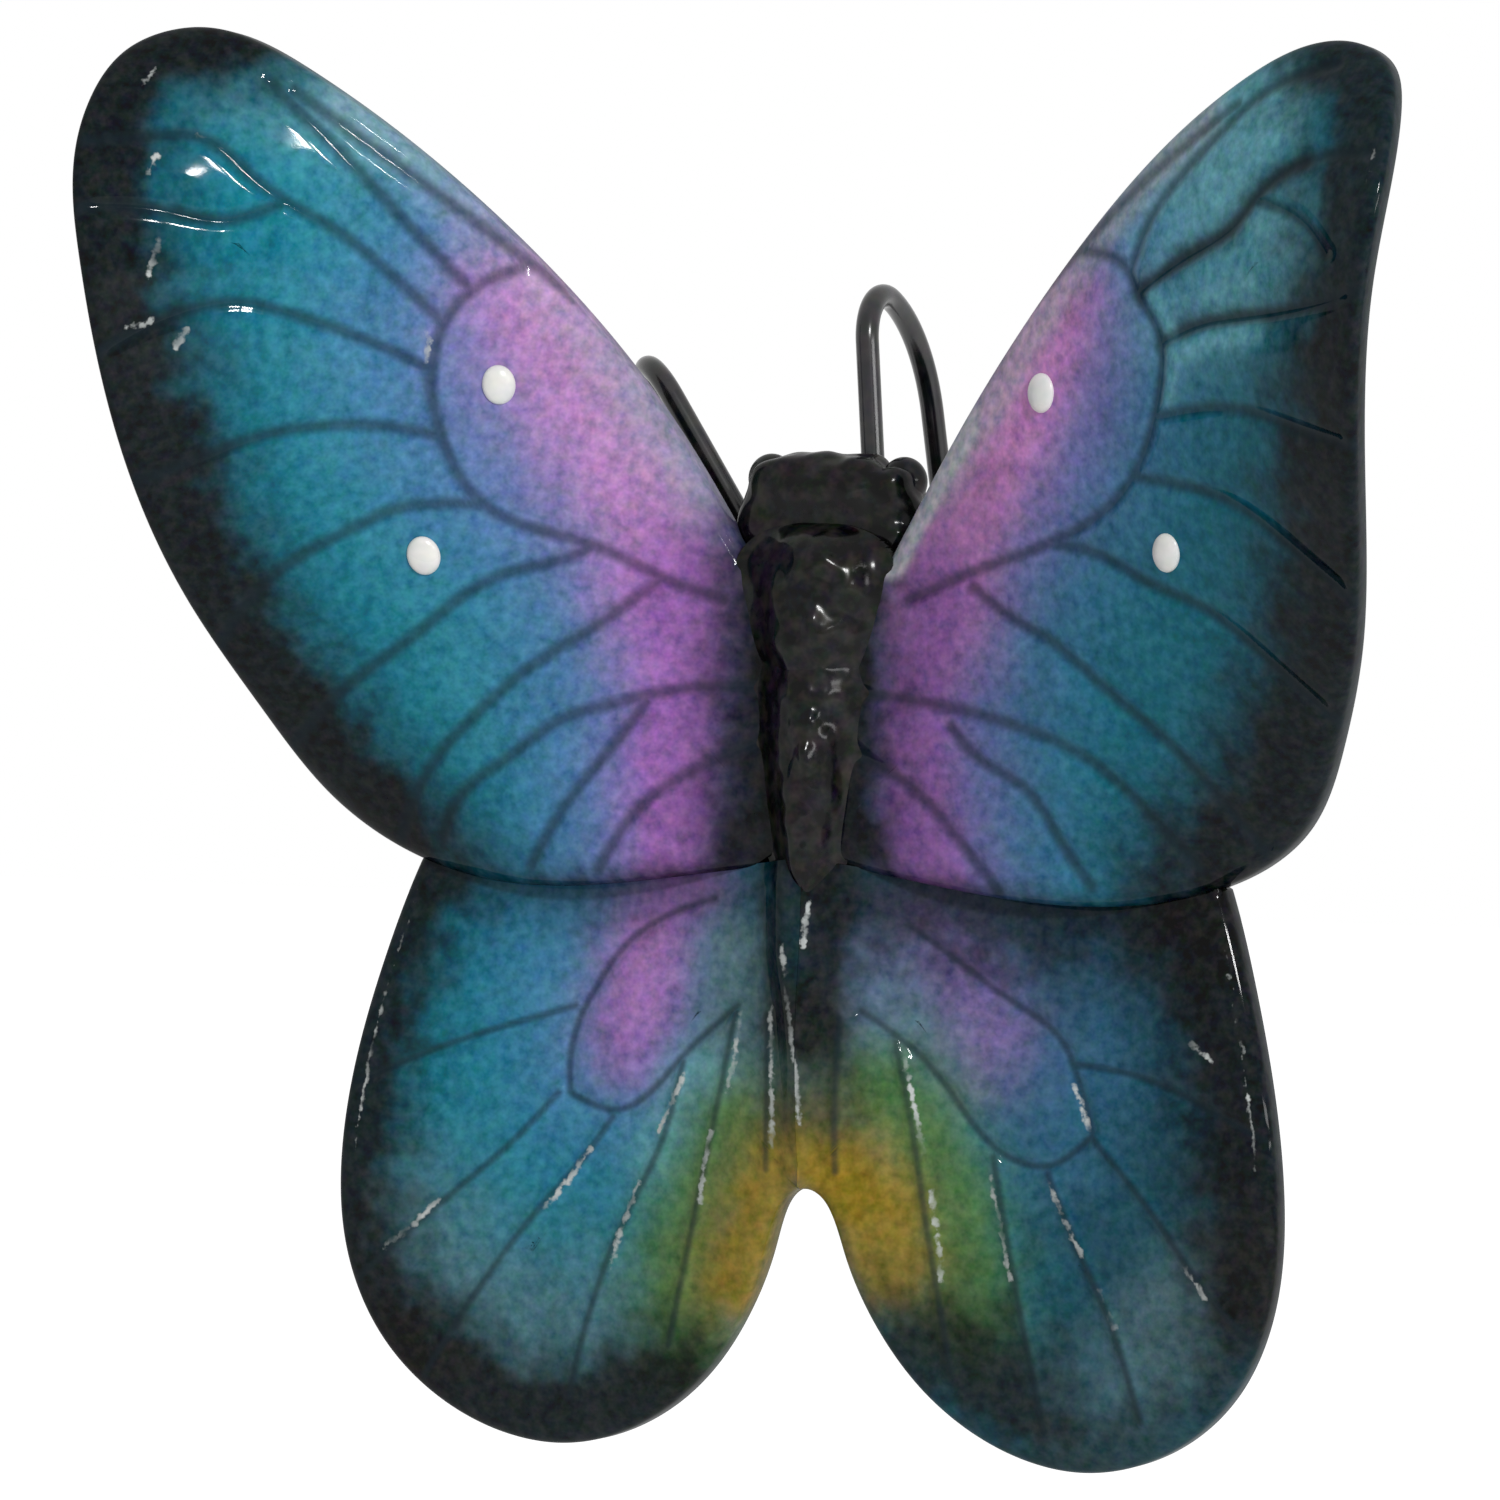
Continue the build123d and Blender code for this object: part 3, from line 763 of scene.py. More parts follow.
def build_underside(settings, material, root_depth):
    """The oval boss behind the wing roots, with its flat back."""
    depth = root_depth - SEAT_GAP
    bm = bmesh.new()
    bmesh.ops.create_cone(
        bm, cap_ends=True, segments=128, radius1=1.0, radius2=1.0, depth=depth
    )
    half_sizes = (settings.underside_width / 2, settings.underside_height / 2, 1.0)
    bmesh.ops.scale(bm, vec=half_sizes, verts=bm.verts[:])
    lay_back(bm)
    bmesh.ops.translate(bm, verts=bm.verts[:], vec=(0, -depth / 2, 0))
    rim = [edge for edge in bm.edges if all(vert.co.y > -1e-6 for vert in edge.verts)]
    round_edges(bm, rim, settings.underside_round, 6)
    bmesh.ops.recalc_face_normals(bm, faces=bm.faces[:])
    piece = new_object("underside", bm, material)
    piece.data.set_sharp_from_angle(angle=math.radians(40))


def hook_matrix(sign, foot, lean, splay, settings):
    """Place of a bent wire: x goes to the back, y up the leg, from the socket's floor."""
    up = Matrix.Rotation(sign * lean, 3, "Y") @ Vector((0, 0, 1))
    back = Matrix.Rotation(-sign * splay, 3, up) @ Vector((0, 1, 0))
    mouth = Vector((sign * foot, settings.wire_depth, settings.hook_foot_height))
    start = mouth - settings.hook_socket_depth * up
    axes = Matrix((back, up, back.cross(up))).transposed()
    return Matrix.Translation(start) @ axes.to_4x4()


def build_hook(side, place, leg, settings, material):
    """A wire that rises behind the head, bends to the back and comes down again."""
    bm = bmesh.new()
    bmesh.ops.create_circle(bm, cap_ends=False, segments=32, radius=settings.wire_diameter / 2)
    lay_back(bm)

    def straight(loop, length, heading, steps):
        for _ in range(steps):
            made = bmesh.ops.extrude_edge_only(bm, edges=loop)["geom"]
            verts = of_kind(made, bmesh.types.BMVert)
            bmesh.ops.translate(bm, verts=verts, vec=heading * (length / steps))
            ends = set(verts)
            edges = of_kind(made, bmesh.types.BMEdge)
            loop = [edge for edge in edges if ends.issuperset(edge.verts)]
        return loop

    def bend(loop, radius, heading, angle, steps):
        verts = {vert for edge in loop for vert in edge.verts}
        middle = sum((vert.co for vert in verts), Vector()) / len(verts)
        centre = middle + radius * Vector((heading.y, -heading.x, 0))
        made = bmesh.ops.spin(
            bm, geom=list(verts) + loop, cent=centre, axis=(0, 0, -1), angle=angle, steps=steps
        )["geom_last"]
        return of_kind(made, bmesh.types.BMEdge), Matrix.Rotation(-angle, 3, "Z") @ heading

    heading = Vector((0, 1, 0))
    loop = straight(bm.edges[:], settings.hook_socket_depth + leg, heading, 12)
    loop, heading = bend(loop, settings.bend_radius, heading, settings.bend_angle, 28)
    loop, heading = bend(loop, settings.sweep_radius, heading, settings.sweep_angle, 24)
    straight(loop, settings.hook_end, heading, 6)
    bmesh.ops.holes_fill(bm, edges=bm.edges[:], sides=0)
    bmesh.ops.recalc_face_normals(bm, faces=bm.faces[:])
    rims = [edge for edge in bm.edges if any(len(face.verts) > 4 for face in edge.link_faces)]
    round_edges(bm, rims, settings.wire_diameter * WIRE_END_SHARE, 4)
    bmesh.ops.transform(bm, matrix=place, verts=bm.verts[:])
    new_object(f"{side}_hook", bm, material)


def build_dots(side, settings, wings, material):
    """Two drops of enamel, each a low dome on the front of a fore wing."""
    width, height, dome = (value / MM for value in settings.dot_size)
    bm = bmesh.new()
    for across, up in DOT_PLACES[side]:
        places = np.array([(across, up), (across + SLOPE_STEP, up), (across, up + SLOPE_STEP)])
        depth = FORE_WING.middle(places[:, 0], places[:, 1], wings.root_depth / MM)
        depth -= wings.wing_thickness / MM / 2 + wings.pillow_height / MM
        reach = Vector((SLOPE_STEP, depth[1] - depth[0], 0)).normalized()
        rise = Vector((0, depth[2] - depth[0], SLOPE_STEP)).normalized()
        outward = reach.cross(rise).normalized()
        axes = Matrix((reach, rise, outward)).transposed().to_4x4()
        place = Matrix.Translation((across, depth[0], up)) @ axes
        made = bmesh.ops.create_uvsphere(bm, u_segments=40, v_segments=24, radius=1.0)["verts"]
        bmesh.ops.scale(bm, vec=(width / 2, height / 2, dome), verts=made)
        bmesh.ops.transform(bm, matrix=place, verts=made)
    bmesh.ops.scale(bm, vec=(SIDES[side] * MM, MM, MM), verts=bm.verts[:])
    bmesh.ops.recalc_face_normals(bm, faces=bm.faces[:])
    new_object(f"{side}_wing_dots", bm, material)


# Shader helpers

def add_node(tree, kind, *inputs, **values):
    """A node with its settings; inputs, in order or after an in_ prefix, are set or linked."""
    node = tree.nodes.new(kind)
    sockets = dict(enumerate(inputs))
    for key, value in values.items():
        if key.startswith("in_"):
            sockets[key[3:].replace("_", " ")] = value
        else:
            setattr(node, key, value)
    for key, value in sockets.items():
        if isinstance(value, bpy.types.NodeSocket):
            tree.links.new(value, node.inputs[key])
        else:
            node.inputs[key].default_value = value
    return node


def empty_tree(owner):
    """The cleared node tree of a material or a world."""
    owner.use_nodes = True
    owner.node_tree.nodes.clear()
    return owner.node_tree


def scalar(tree, operation, *inputs):
    """Output of a Math node."""
    return add_node(tree, "ShaderNodeMath", *inputs, operation=operation).outputs[0]


def vector(tree, operation, *inputs):
    """Output of a Vector Math node."""
    return add_node(tree, "ShaderNodeVectorMath", *inputs, operation=operation).outputs[0]


def ramp(tree, value, start, end, to=(0.0, 1.0), curve="LINEAR"):
    """A value brought from one range to another."""
    node = add_node(
        tree, "ShaderNodeMapRange", interpolation_type=curve, in_Value=value,
        in_From_Min=start, in_From_Max=end, in_To_Min=to[0], in_To_Max=to[1],
    )
    return node.outputs["Result"]


def mottle(tree, place, scale, detail=2.0, roughness=0.5):
    """Outputs of a noise texture."""
    node = add_node(
        tree, "ShaderNodeTexNoise", in_Vector=place, in_Scale=scale, in_Detail=detail,
        in_Roughness=roughness,
    )
    return node.outputs


def mix(tree, factor, first, second):
    """A second colour laid over the first."""
    node = add_node(
        tree, "ShaderNodeMix", data_type="RGBA", in_Factor=factor, in_A=first, in_B=second
    )
    return node.outputs["Result"]


def new_group(name, inputs, outputs):
    """A shader group with its sockets, the sockets of its input node and its object coordinates."""
    group = bpy.data.node_groups.new(name, "ShaderNodeTree")
    for in_out, sockets in (("INPUT", inputs), ("OUTPUT", outputs)):
        for socket, kind in sockets.items():
            group.interface.new_socket(name=socket, in_out=in_out, socket_type=f"NodeSocket{kind}")
    inlet = add_node(group, "NodeGroupInput").outputs
    return group, inlet, add_node(group, "ShaderNodeTexCoord").outputs["Object"]


def speckle_group(name):
    """Airbrush speckle: droplets and a soft mottle that shift a colour's brightness and hue."""
    inputs = {"Colour": "Color", "Droplets": "Float", "Shade": "Float", "Dust": "Float"}
    group, inlet, place = new_group(name, inputs, {"Colour": "Color"})
    fine = mottle(group, place, inlet["Droplets"], roughness=0.6)
    soft = mottle(group, place, 300.0)
    bright = scalar(group, "MULTIPLY_ADD", soft["Fac"], 0.4, fine["Fac"])
    tinted = vector(group, "MULTIPLY_ADD", fine["Color"], (0.5, 0.5, 0.5), bright)
    spread = vector(group, "MULTIPLY_ADD", tinted, (5.0, 5.0, 5.0), (-4.75, -4.75, -4.75))
    amount = vector(group, "MULTIPLY_ADD", spread, inlet["Shade"], (1.0, 1.0, 1.0))
    shaded = vector(group, "MULTIPLY", inlet["Colour"], amount)
    dusted = vector(group, "MULTIPLY_ADD", spread, inlet["Dust"], shaded)
    darkest = vector(group, "MAXIMUM", dusted, (0.001, 0.001, 0.001))
    add_node(group, "NodeGroupOutput", in_Colour=darkest)
    return group


def lacquer_group(name):
    """Brushed-on lacquer: its slight ripple as a height, and its uneven gloss."""
    inputs = {"Ripple": "Float", "Gloss Low": "Float", "Gloss High": "Float"}
    group, inlet, place = new_group(name, inputs, {"Height": "Float", "Roughness": "Float"})
    ripple = mottle(group, place, inlet["Ripple"], roughness=0.4)
    haze = mottle(group, place, 180.0, detail=3.0)
    gloss = ramp(group, haze["Fac"], 0.3, 0.7, (inlet["Gloss Low"], inlet["Gloss High"]))
    add_node(group, "NodeGroupOutput", in_Height=ripple["Fac"], in_Roughness=gloss)
    return group


def use_group(tree, name, maker, **values):
    """Outputs of a shared shader group, which is made the first time it is asked for."""
    group = bpy.data.node_groups.get(name) or maker(name)
    return add_node(tree, "ShaderNodeGroup", node_tree=group, **values).outputs


def speckled(tree, colour, droplets, shade, dust):
    """A colour broken up by airbrush speckle."""
    return use_group(
        tree, "airbrush speckle", speckle_group, in_Colour=colour, in_Droplets=droplets,
        in_Shade=shade, in_Dust=dust,
    )["Colour"]


def lacquered(tree, colour, ripple, gloss, strength, **finish):
    """Closes a material with a shader whose lacquer ripples and varies in gloss."""
    coat = use_group(
        tree, "lacquer coat", lacquer_group, in_Ripple=ripple, in_Gloss_Low=gloss[0],
        in_Gloss_High=gloss[1],
    )
    bump = add_node(
        tree, "ShaderNodeBump", in_Strength=strength, in_Distance=RIPPLE_HEIGHT,
        in_Height=coat["Height"],
    )
    shader = add_node(
        tree, "ShaderNodeBsdfPrincipled", in_Base_Color=colour, in_Roughness=coat["Roughness"],
        in_Normal=bump.outputs["Normal"], **finish,
    )
    add_node(tree, "ShaderNodeOutputMaterial", in_Surface=shader.outputs["BSDF"])


def wing_material(name, settings):
    """Airbrushed paint with dark vein lines and pale painted highlights under a clear gloss
    lacquer.
    """
    def painted(attribute, output):
        return add_node(tree, "ShaderNodeAttribute", attribute_name=attribute).outputs[output]

    material = bpy.data.materials.new(name)
    tree = empty_tree(material)
    place = add_node(tree, "ShaderNodeTexCoord").outputs["Object"]
    width = settings.vein_width / MM
    ground = speckled(tree, painted("paint", "Color"), droplets=1250.0, shade=0.2, dust=0.006)
    reach = (1.5 * width, 0.1 * width)
    ink = ramp(tree, painted("vein_gap", "Fac"), *reach, (0.0, settings.vein_ink), "SMOOTHSTEP")
    inked = mix(tree, ink, ground, (*settings.ink, 1.0))
    # Pale painted highlights along the listed stretches, frayed and broken into patches; on the
    # hind wings' veins they are partly paint rubbed down
    fray = ramp(tree, mottle(tree, place, 1900.0)["Fac"], 0.3, 0.7, (-HIGHLIGHT_AND_WEAR_FRAY, HIGHLIGHT_AND_WEAR_FRAY))
    frayed = scalar(tree, "ADD", painted("highlight_and_wear_gap", "Fac"), fray)
    edge = ramp(tree, frayed, settings.highlight_and_wear_width / MM, 0.0, curve="SMOOTHSTEP")
    patches = ramp(tree, mottle(tree, place, 420.0)["Fac"], 0.32, 0.62)
    rubbed = scalar(tree, "MULTIPLY", edge, patches)
    highlighted = mix(tree, rubbed, inked, (*settings.highlight_and_wear, 1.0))
    lacquered(
        tree, highlighted, ripple=420.0, gloss=(0.2, 0.34), strength=0.15,
        in_Specular_IOR_Level=0.0, in_Coat_Weight=0.2, in_Coat_Roughness=0.06,
    )
    return material


def black_material(name, colour, ripple, shade, sheen, coat, haze):
    """Black paint under gloss lacquer, with a faint mottle."""
    material = bpy.data.materials.new(name)
    tree = empty_tree(material)
    mottled = speckled(tree, (*colour, 1.0), droplets=900.0, shade=shade, dust=0.006)
    lacquered(
        tree, mottled, ripple, gloss=(0.26, 0.4), strength=0.3,
        in_Specular_IOR_Level=sheen, in_Coat_Weight=coat, in_Coat_Roughness=haze,
    )
    return material


def enamel_material(name, settings):
    """White enamel, glossy and a little uneven."""
    material = bpy.data.materials.new(name)
    tree = empty_tree(material)
    uneven = speckled(tree, (*settings.enamel, 1.0), droplets=700.0, shade=0.06, dust=0.0)
    lacquered(tree, uneven, ripple=500.0, gloss=(0.2, 0.35), strength=0.1)
    return material


def shared_material(name, maker, *values, **finish):
    """The material of that name, made the first time it is asked for."""
    return bpy.data.materials.get(name) or maker(name, *values, **finish)


# Settings

def length(name, description, millimetres):
    """A length, given in millimetres."""
    return FloatProperty(
        name=name, description=description, default=millimetres * MM, unit="LENGTH"
    )


def angle(name, description, degrees):
    """An angle, given in degrees."""
    return FloatProperty(
        name=name, description=description, default=math.radians(degrees), unit="ROTATION"
    )


def tint(name, description, colour):
    """A colour of paint."""
    return FloatVectorProperty(name=name, description=description, default=colour, subtype="COLOR")


class WingSettings(PropertyGroup):
    """Sizes and finish of the wings."""

    wing_thickness: length("Thickness", "Thickness of a wing, front to back", 4.0)
    root_depth: length("Root Depth", "Depth of the wing roots in front of the flat back", 6.5)
    rim_round: length("Rim Round", "Radius of the wings' rims", 1.4)
    vein_width: length("Vein Width", "Half width of a vein", 0.5)
    vein_depth: length("Vein Depth", "Depth of a scored vein", 0.27)
    pillow_height: length("Pillow Height", "How far the wing swells between the veins", 0.2)
    pillow_reach: length("Pillow Reach", "Distance from a vein over which the wing swells", 2.6)
    vein_rise: length("Vein Rise", "Height of the raised veins of the hind wings", 0.24)
    margin_width: length("Margin Width", "Width over which the front rolls down to the rim", 6.0)
    margin_roll: length("Margin Roll", "How far the front rolls down at the rim", 0.5)
    lump_size: length("Lump Size", "Size of the lumps in the brushed lacquer", 3.6)
    lump_height: length("Lump Height", "Height of the lumps in the brushed lacquer", 0.045)
    ridge_height: length("Ridge Height", "Height of the ridge between the hind wings", 1.1)
    ridge_width: length("Ridge Width", "Half width of the ridge between the hind wings", 1.3)
    vein_ink: FloatProperty(
        name="Vein Ink", description="How dark the paint lies in the veins", default=0.62,
        subtype="FACTOR",
    )
    ink: tint("Ink", "Colour of the paint in the veins", (0.004, 0.013, 0.02))
    # Half width and pale colour of the painted highlights, partly paint rubbed down on the hind
    # wings' veins
    highlight_and_wear_width: length("Gleam Width", "Half width of a worn stretch of paint", 0.23)
    highlight_and_wear: tint("Gleam", "Pale ground where the paint is rubbed down", (0.5, 0.53, 0.52))
    teal: tint("Teal", "Ground colour of the wings", (0.003, 0.19, 0.268))
    pale_teal: tint("Pale Teal", "Lightest teal", (0.14, 0.41, 0.49))
    deep_teal: tint("Deep Teal", "Teal towards the margins", (0.008, 0.045, 0.07))
    # On the lower lobes this colour is a painted reflection, a broad sheen; beside the roots it is
    # paint
    slate_and_sheen: tint("Slate", "Grey teal of the lower lobes", (0.085, 0.165, 0.185))
    blue: tint("Blue", "Blue between teal and violet", (0.055, 0.2, 0.38))
    violet: tint("Violet", "Violet round the pink", (0.2, 0.17, 0.5))
    pink: tint("Pink", "Pink of the cells", (0.56, 0.235, 0.55))
    magenta: tint("Magenta", "Stronger pink beside the body", (0.32, 0.13, 0.44))
    plum: tint("Plum", "Dark edge of the pink", (0.02, 0.019, 0.042))
    # A painted reflection: the pale sheen laid along the leading edges
    sheen_grey: tint("Grey", "Grey of the leading edges", (0.42, 0.43, 0.48))
    green: tint("Green", "Green beside the gold", (0.065, 0.165, 0.03))
    olive: tint("Olive", "Olive between the gold and the black", (0.045, 0.05, 0.02))
    gold: tint("Gold", "Gold at the hind wings' fork", (0.25, 0.17, 0.006))
    black: tint("Black", "Black of the margins", (0.004, 0.0045, 0.0045))
    back: tint("Back", "Dark paint of the backs", (0.012, 0.022, 0.028))


class BodySettings(PropertyGroup):
    """Sizes and finish of the body, the hooks and the dots."""

    head_width: length("Head Width", "Width of the head", 11.4)
    head_height: length("Head Height", "Height of the head", 7.6)
    head_depth: length("Head Depth", "Depth of the head, front to back", 5.8)
    head_top: length("Head Top", "Height of the head's top", 20.4)
    head_middle_depth: length(
        "Head Place", "Depth of the head's middle in front of the flat back", 5.6
    )
    head_dip: length("Head Dip", "Depth of the dip inside the right eye", 0.6)
    head_brow: length("Brow", "How far the brow stands out", 0.6)
    head_groove: length("Groove", "Depth of the groove under the brow", 0.2)
    eye_diameter: length("Eye", "Diameter of an eye ball", 3.3)
    eye_spread: length("Eye Spread", "Distance between the eyes' centres", 9.6)
    eye_below_top: length("Eye Height", "Drop of the eyes' centres below the head's top", 1.8)
    eye_setback: length("Eye Setback", "Depth of the eyes behind the head's middle", 0.4)
    thorax_width: length("Thorax Width", "Width of the thorax", 10.0)
    thorax_height: length("Thorax Height", "Height of the thorax", 10.4)
    thorax_bulge: length("Thorax Bulge", "How far the thorax stands in front of the wings", 3.8)
    thorax_centre_height: length("Thorax Place", "Height of the thorax's middle", 10.4)
    waist_overlap: length("Waist Overlap", "How far the thorax runs down over the abdomen", 3.2)
    abdomen_width: length("Abdomen Width", "Width of the abdomen", 6.8)
    abdomen_bulge: length("Abdomen Bulge", "How far the abdomen stands in front of the wings", 3.6)
    abdomen_top: length("Abdomen Top", "Height of the abdomen's top", 9.0)
    tail_drop: length("Tail Drop", "Drop of the tail below the wing roots", 10.8)
    flank_sink: length("Flank Sink", "How far the body's flanks run into the wings", 0.45)
    underside_width: length("Underside Width", "Width of the boss on the back", 13.0)
    underside_height: length("Underside Height", "Height of the boss on the back", 25.0)
    underside_round: length("Underside Round", "Radius of the boss's rim", 1.0)
    wire_diameter: length("Wire", "Diameter of the hook wire", 1.6)
    wire_depth: length("Wire Place", "Depth of the wires in the boss", -1.6)
    hook_foot_height: length("Foot Height", "Height at which the wires leave the boss", 10.0)
    hook_socket_depth: length("Socket Depth", "Length of wire in the boss", 4.0)
    hook_end: length("Hook End", "Length of the straight end of a hook", 8.0)
    bend_radius: length("Bend Radius", "Radius of the tight bend at a hook's top", 3.3)
    bend_angle: angle("Bend Angle", "Turn of the tight bend", 110)
    sweep_radius: length("Sweep Radius", "Radius of the wide bend behind it", 10.0)
    sweep_angle: angle("Sweep Angle", "Turn of the wide bend", 60)
    dot_size: FloatVectorProperty(
        name="Dot Size", description="Width, height and dome of a dot",
        default=(2.3 * MM, 2.7 * MM, 0.5 * MM), unit="LENGTH",
    )
    black: tint("Black", "Black of the body", (0.006, 0.0064, 0.006))
    wire_black: tint("Wire Black", "Black paint of the hooks", (0.008, 0.008, 0.009))
    enamel: tint("Enamel", "White of the dots", (0.8, 0.8, 0.77))


class StageSettings(PropertyGroup):
    """Light, floor and camera."""

    ambient: FloatProperty(name="Ambient", description="Strength of the room's light", default=0.42)
    key_power: FloatProperty(
        name="Key", description="Power that the lamps share out", default=2.85, unit="POWER"
    )
    floor_drop: length("Floor Drop", "Gap between the hanger and the floor", 70)
    camera_distance: length("Camera Distance", "Distance from the wing roots", 772)
    camera_turn: angle("Camera Turn", "How far the camera stands to the right", 20)
    camera_roll: angle("Camera Roll", "How far the camera is rolled", 2)


class BUTTERFLY_OT_fore_wings(Operator):
    """Build both fore wings with their scored veins and airbrushed fronts"""

    bl_idname = "butterfly.fore_wings"
    bl_label = "Fore Wings"

    def execute(self, context):
        build_wings(FORE_WING, "forewing", context.scene.butterfly_wings)
        return {"FINISHED"}


class BUTTERFLY_OT_hind_wings(Operator):
    """Build both hind wings with their raised veins, the ridge and airbrushed fronts"""

    bl_idname = "butterfly.hind_wings"
    bl_label = "Hind Wings"

    def execute(self, context):
        build_wings(HIND_WING, "hindwing", context.scene.butterfly_wings)
        return {"FINISHED"}


class BUTTERFLY_OT_body(Operator):
    """Build the head, the eyes, the thorax, the abdomen and the underside"""

    bl_idname = "butterfly.body"
    bl_label = "Body"

    def execute(self, context):
        settings = context.scene.butterfly_body
        wings = context.scene.butterfly_wings
        material = shared_material(
            "black_lacquer", black_material, settings.black,
            ripple=420.0, shade=0.6, sheen=0.01, coat=0.3, haze=0.14,
        )
        build_head(settings, material)
        for side in SIDES:
            build_eye(side, settings, material)
        build_thorax(settings, material, wings)
        build_abdomen(settings, material, wings)
        build_underside(settings, material, wings.root_depth)
        return {"FINISHED"}


class BUTTERFLY_OT_hooks(Operator):
    """Bend both wire hooks"""

    bl_idname = "butterfly.hooks"
    bl_label = "Hooks"

    def execute(self, context):
        settings = context.scene.butterfly_body
        material = shared_material(
            "hook_paint", black_material, settings.wire_black,
            ripple=700.0, shade=0.2, sheen=0.0, coat=1.0, haze=0.22,
        )
        for side, (foot, leg, lean, splay) in HOOKS.items():
            place = hook_matrix(
                SIDES[side], foot * MM, math.radians(lean), math.radians(splay), settings
            )
            build_hook(side, place, leg * MM, settings, material)
        return {"FINISHED"}


class BUTTERFLY_OT_dots(Operator):
    """Put the white dots on the fore wings"""

    bl_idname = "butterfly.dots"
    bl_label = "Dots"

    def execute(self, context):
        settings = context.scene.butterfly_body
        material = shared_material("dot_enamel", enamel_material, settings)
        for side in SIDES:
            build_dots(side, settings, context.scene.butterfly_wings, material)
        return {"FINISHED"}


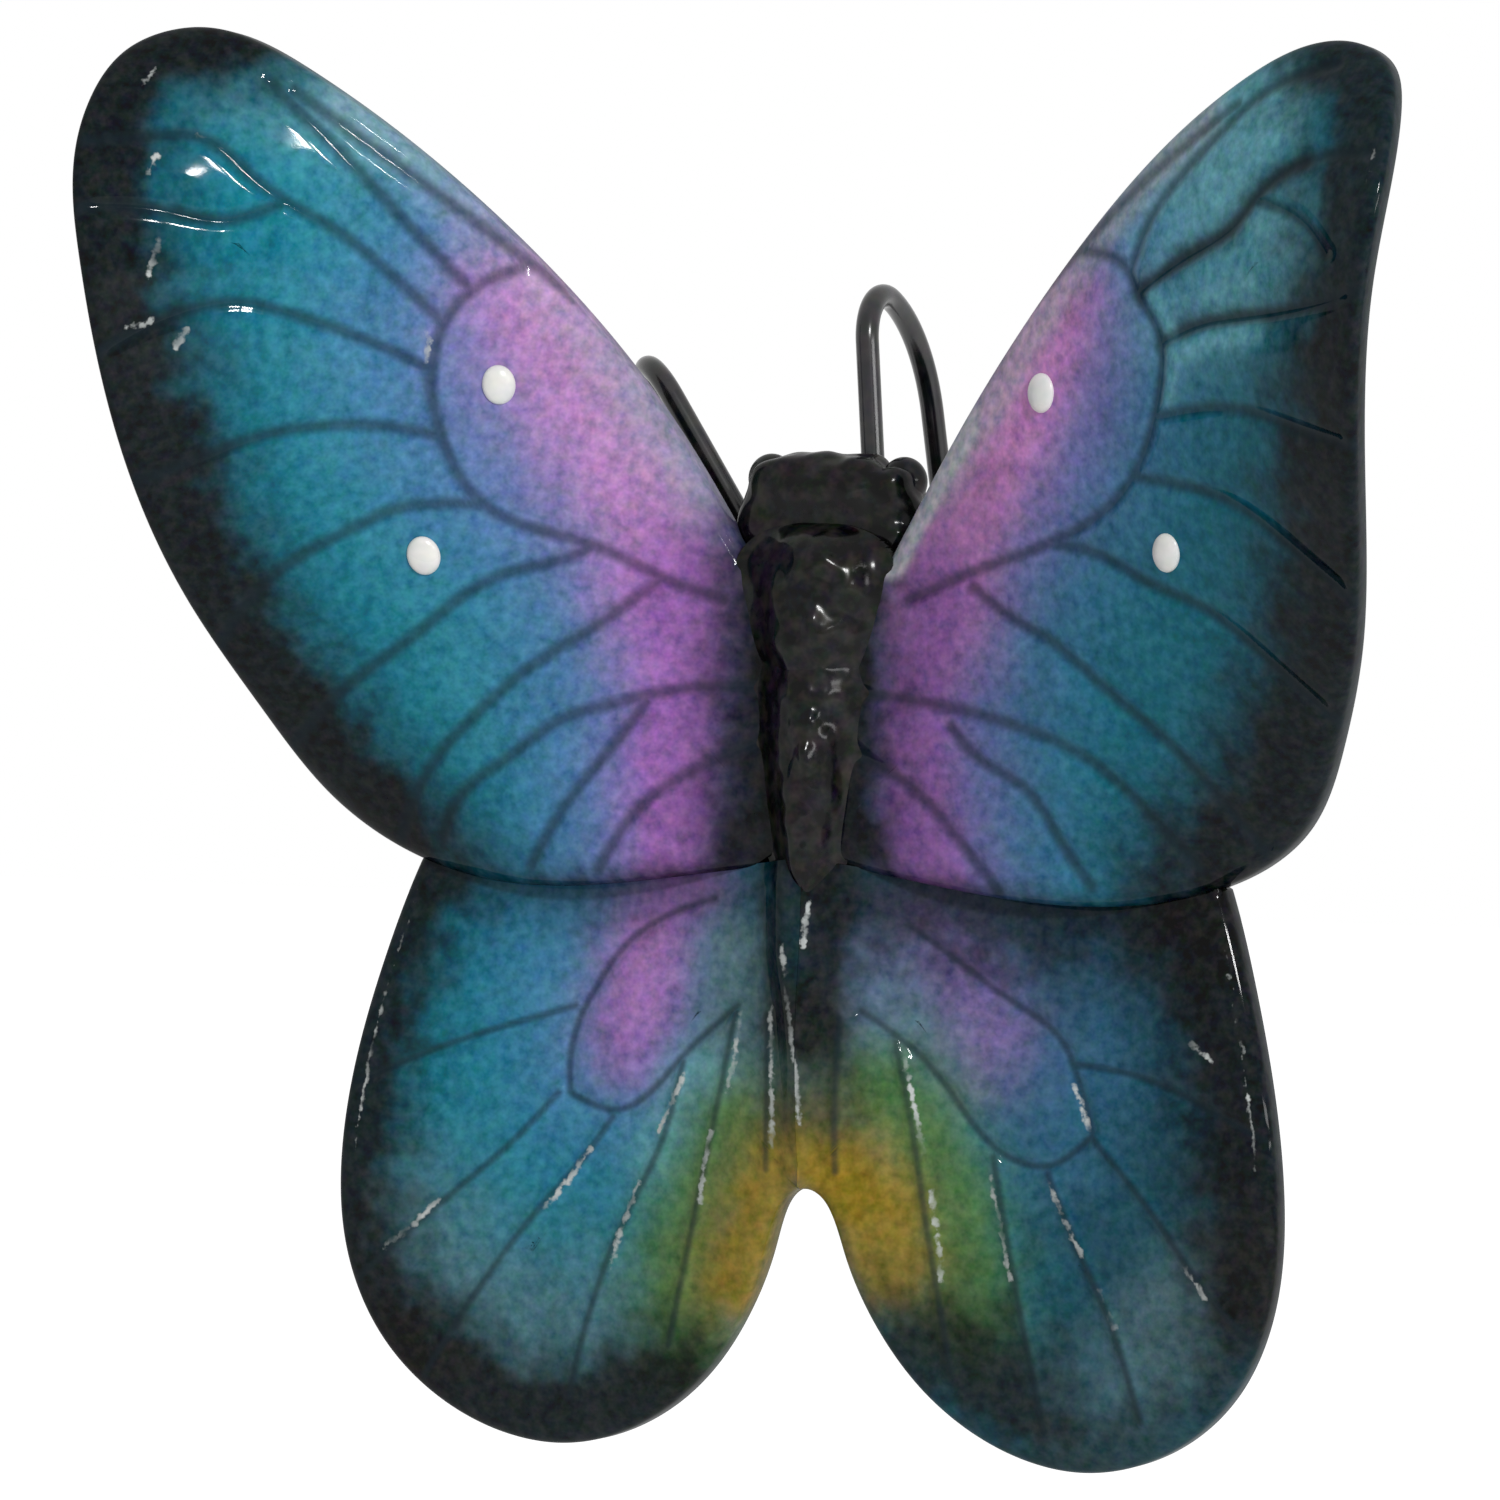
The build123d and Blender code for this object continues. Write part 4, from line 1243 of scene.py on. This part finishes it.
class BUTTERFLY_OT_stage(Operator):
    """Set the floor, the lamps, the room's light and the camera"""

    bl_idname = "butterfly.stage"
    bl_label = "Stage"

    def execute(self, context):
        scene = context.scene
        settings = scene.butterfly_stage
        scene.view_settings.view_transform = "Standard"
        self.light_room(scene, settings)
        self.lay_floor(scene, settings)
        self.hang_lamps(scene, settings)
        self.set_camera(scene, settings)
        return {"FINISHED"}

    def light_room(self, scene, settings):
        """A white background, and a softer even light on the hanger."""
        world = bpy.data.worlds.new("studio")
        tree = empty_tree(world)
        strength = add_node(
            tree, "ShaderNodeMix", data_type="FLOAT", in_Factor=seen_directly(tree),
            in_A=settings.ambient, in_B=1.0,
        )
        background = add_node(
            tree, "ShaderNodeBackground", in_Color=(1.0, 1.0, 1.0, 1.0),
            in_Strength=strength.outputs["Result"],
        )
        add_node(tree, "ShaderNodeOutputWorld", in_Surface=background.outputs["Background"])
        scene.world = world

    def lay_floor(self, scene, settings):
        """A plain white floor well below the hanger, which hangs free."""
        bm = bmesh.new()
        bmesh.ops.create_circle(bm, cap_ends=True, segments=96, radius=8.0)
        bmesh.ops.translate(bm, verts=bm.verts[:], vec=(0, 0, cad_box[0].z - settings.floor_drop))
        mesh = bpy.data.meshes.new("floor")
        bm.to_mesh(mesh)
        bm.free()
        floor = bpy.data.objects.new("floor", mesh)
        scene.collection.objects.link(floor)
        material = bpy.data.materials.new("floor_white")
        tree = empty_tree(material)
        matte = add_node(tree, "ShaderNodeBsdfDiffuse", in_Color=(0.9, 0.9, 0.9, 1.0))
        strength = scalar(tree, "MULTIPLY", seen_directly(tree), 0.72)
        glow = add_node(tree, "ShaderNodeEmission", in_Strength=strength)
        total = add_node(
            tree, "ShaderNodeAddShader", matte.outputs["BSDF"], glow.outputs["Emission"]
        )
        add_node(tree, "ShaderNodeOutputMaterial", in_Surface=total.outputs["Shader"])
        mesh.materials.append(material)

    def hang_lamps(self, scene, settings):
        """Two small lamps up and to the right of the camera, and a wide one at the side."""
        for name, place, (width, height), share in LAMPS:
            data = bpy.data.lights.new(name, "AREA")
            data.shape = "RECTANGLE"
            data.size = width
            data.size_y = height
            data.energy = settings.key_power * share
            lamp = bpy.data.objects.new(name, data)
            lamp.location = place
            lamp.rotation_euler = (-Vector(place)).to_track_quat("-Z", "Y").to_euler()
            scene.collection.objects.link(lamp)

    def set_camera(self, scene, settings):
        """The camera stands level, a little to the right of the middle and rolled a little."""
        turn, roll = settings.camera_turn, settings.camera_roll
        forward = Vector((-math.sin(turn), math.cos(turn), 0))
        right = Vector((math.cos(turn), math.sin(turn), 0))
        up = Vector((0, 0, 1))
        across = math.cos(roll) * right + math.sin(roll) * up
        upward = math.cos(roll) * up - math.sin(roll) * right
        data = bpy.data.cameras.new("camera")
        data.sensor_width = 36.0
        data.lens = 271.8
        camera = bpy.data.objects.new("camera", data)
        depth, to_left, to_top = CAMERA_AIM
        aim = Vector((0, -depth, 0)) - to_left * across + to_top * upward
        axes = Matrix((across, upward, -forward)).transposed().to_4x4()
        camera.matrix_world = Matrix.Translation(aim - settings.camera_distance * forward) @ axes
        scene.collection.objects.link(camera)
        scene.camera = camera


def seen_directly(tree):
    """A socket that is 1 for camera, glossy and transmission rays."""
    path = add_node(tree, "ShaderNodeLightPath").outputs
    seen = scalar(tree, "MAXIMUM", path["Is Camera Ray"], path["Is Glossy Ray"])
    return scalar(tree, "MAXIMUM", seen, path["Is Transmission Ray"])


class VIEW3D_PT_butterfly(Panel):
    """Lists the steps that build the hanger"""

    bl_label = "Butterfly Pot Hanger"
    bl_space_type = "VIEW_3D"
    bl_region_type = "UI"
    bl_category = "Butterfly"

    def draw(self, context):
        for step in STEPS:
            self.layout.operator(step)


STEPS = (
    "butterfly.fore_wings",
    "butterfly.hind_wings",
    "butterfly.body",
    "butterfly.hooks",
    "butterfly.dots",
    "butterfly.stage",
)
CLASSES = (
    WingSettings,
    BodySettings,
    StageSettings,
    BUTTERFLY_OT_fore_wings,
    BUTTERFLY_OT_hind_wings,
    BUTTERFLY_OT_body,
    BUTTERFLY_OT_hooks,
    BUTTERFLY_OT_dots,
    BUTTERFLY_OT_stage,
    VIEW3D_PT_butterfly,
)


def register():
    for item in CLASSES:
        bpy.utils.register_class(item)
    bpy.types.Scene.butterfly_wings = PointerProperty(type=WingSettings)
    bpy.types.Scene.butterfly_body = PointerProperty(type=BodySettings)
    bpy.types.Scene.butterfly_stage = PointerProperty(type=StageSettings)


def unregister():
    del bpy.types.Scene.butterfly_stage
    del bpy.types.Scene.butterfly_body
    del bpy.types.Scene.butterfly_wings
    for item in reversed(CLASSES):
        bpy.utils.unregister_class(item)


def main():
    register()
    for step in STEPS:
        group, name = step.split(".")
        getattr(getattr(bpy.ops, group), name)()


if __name__ == "__main__":
    main()
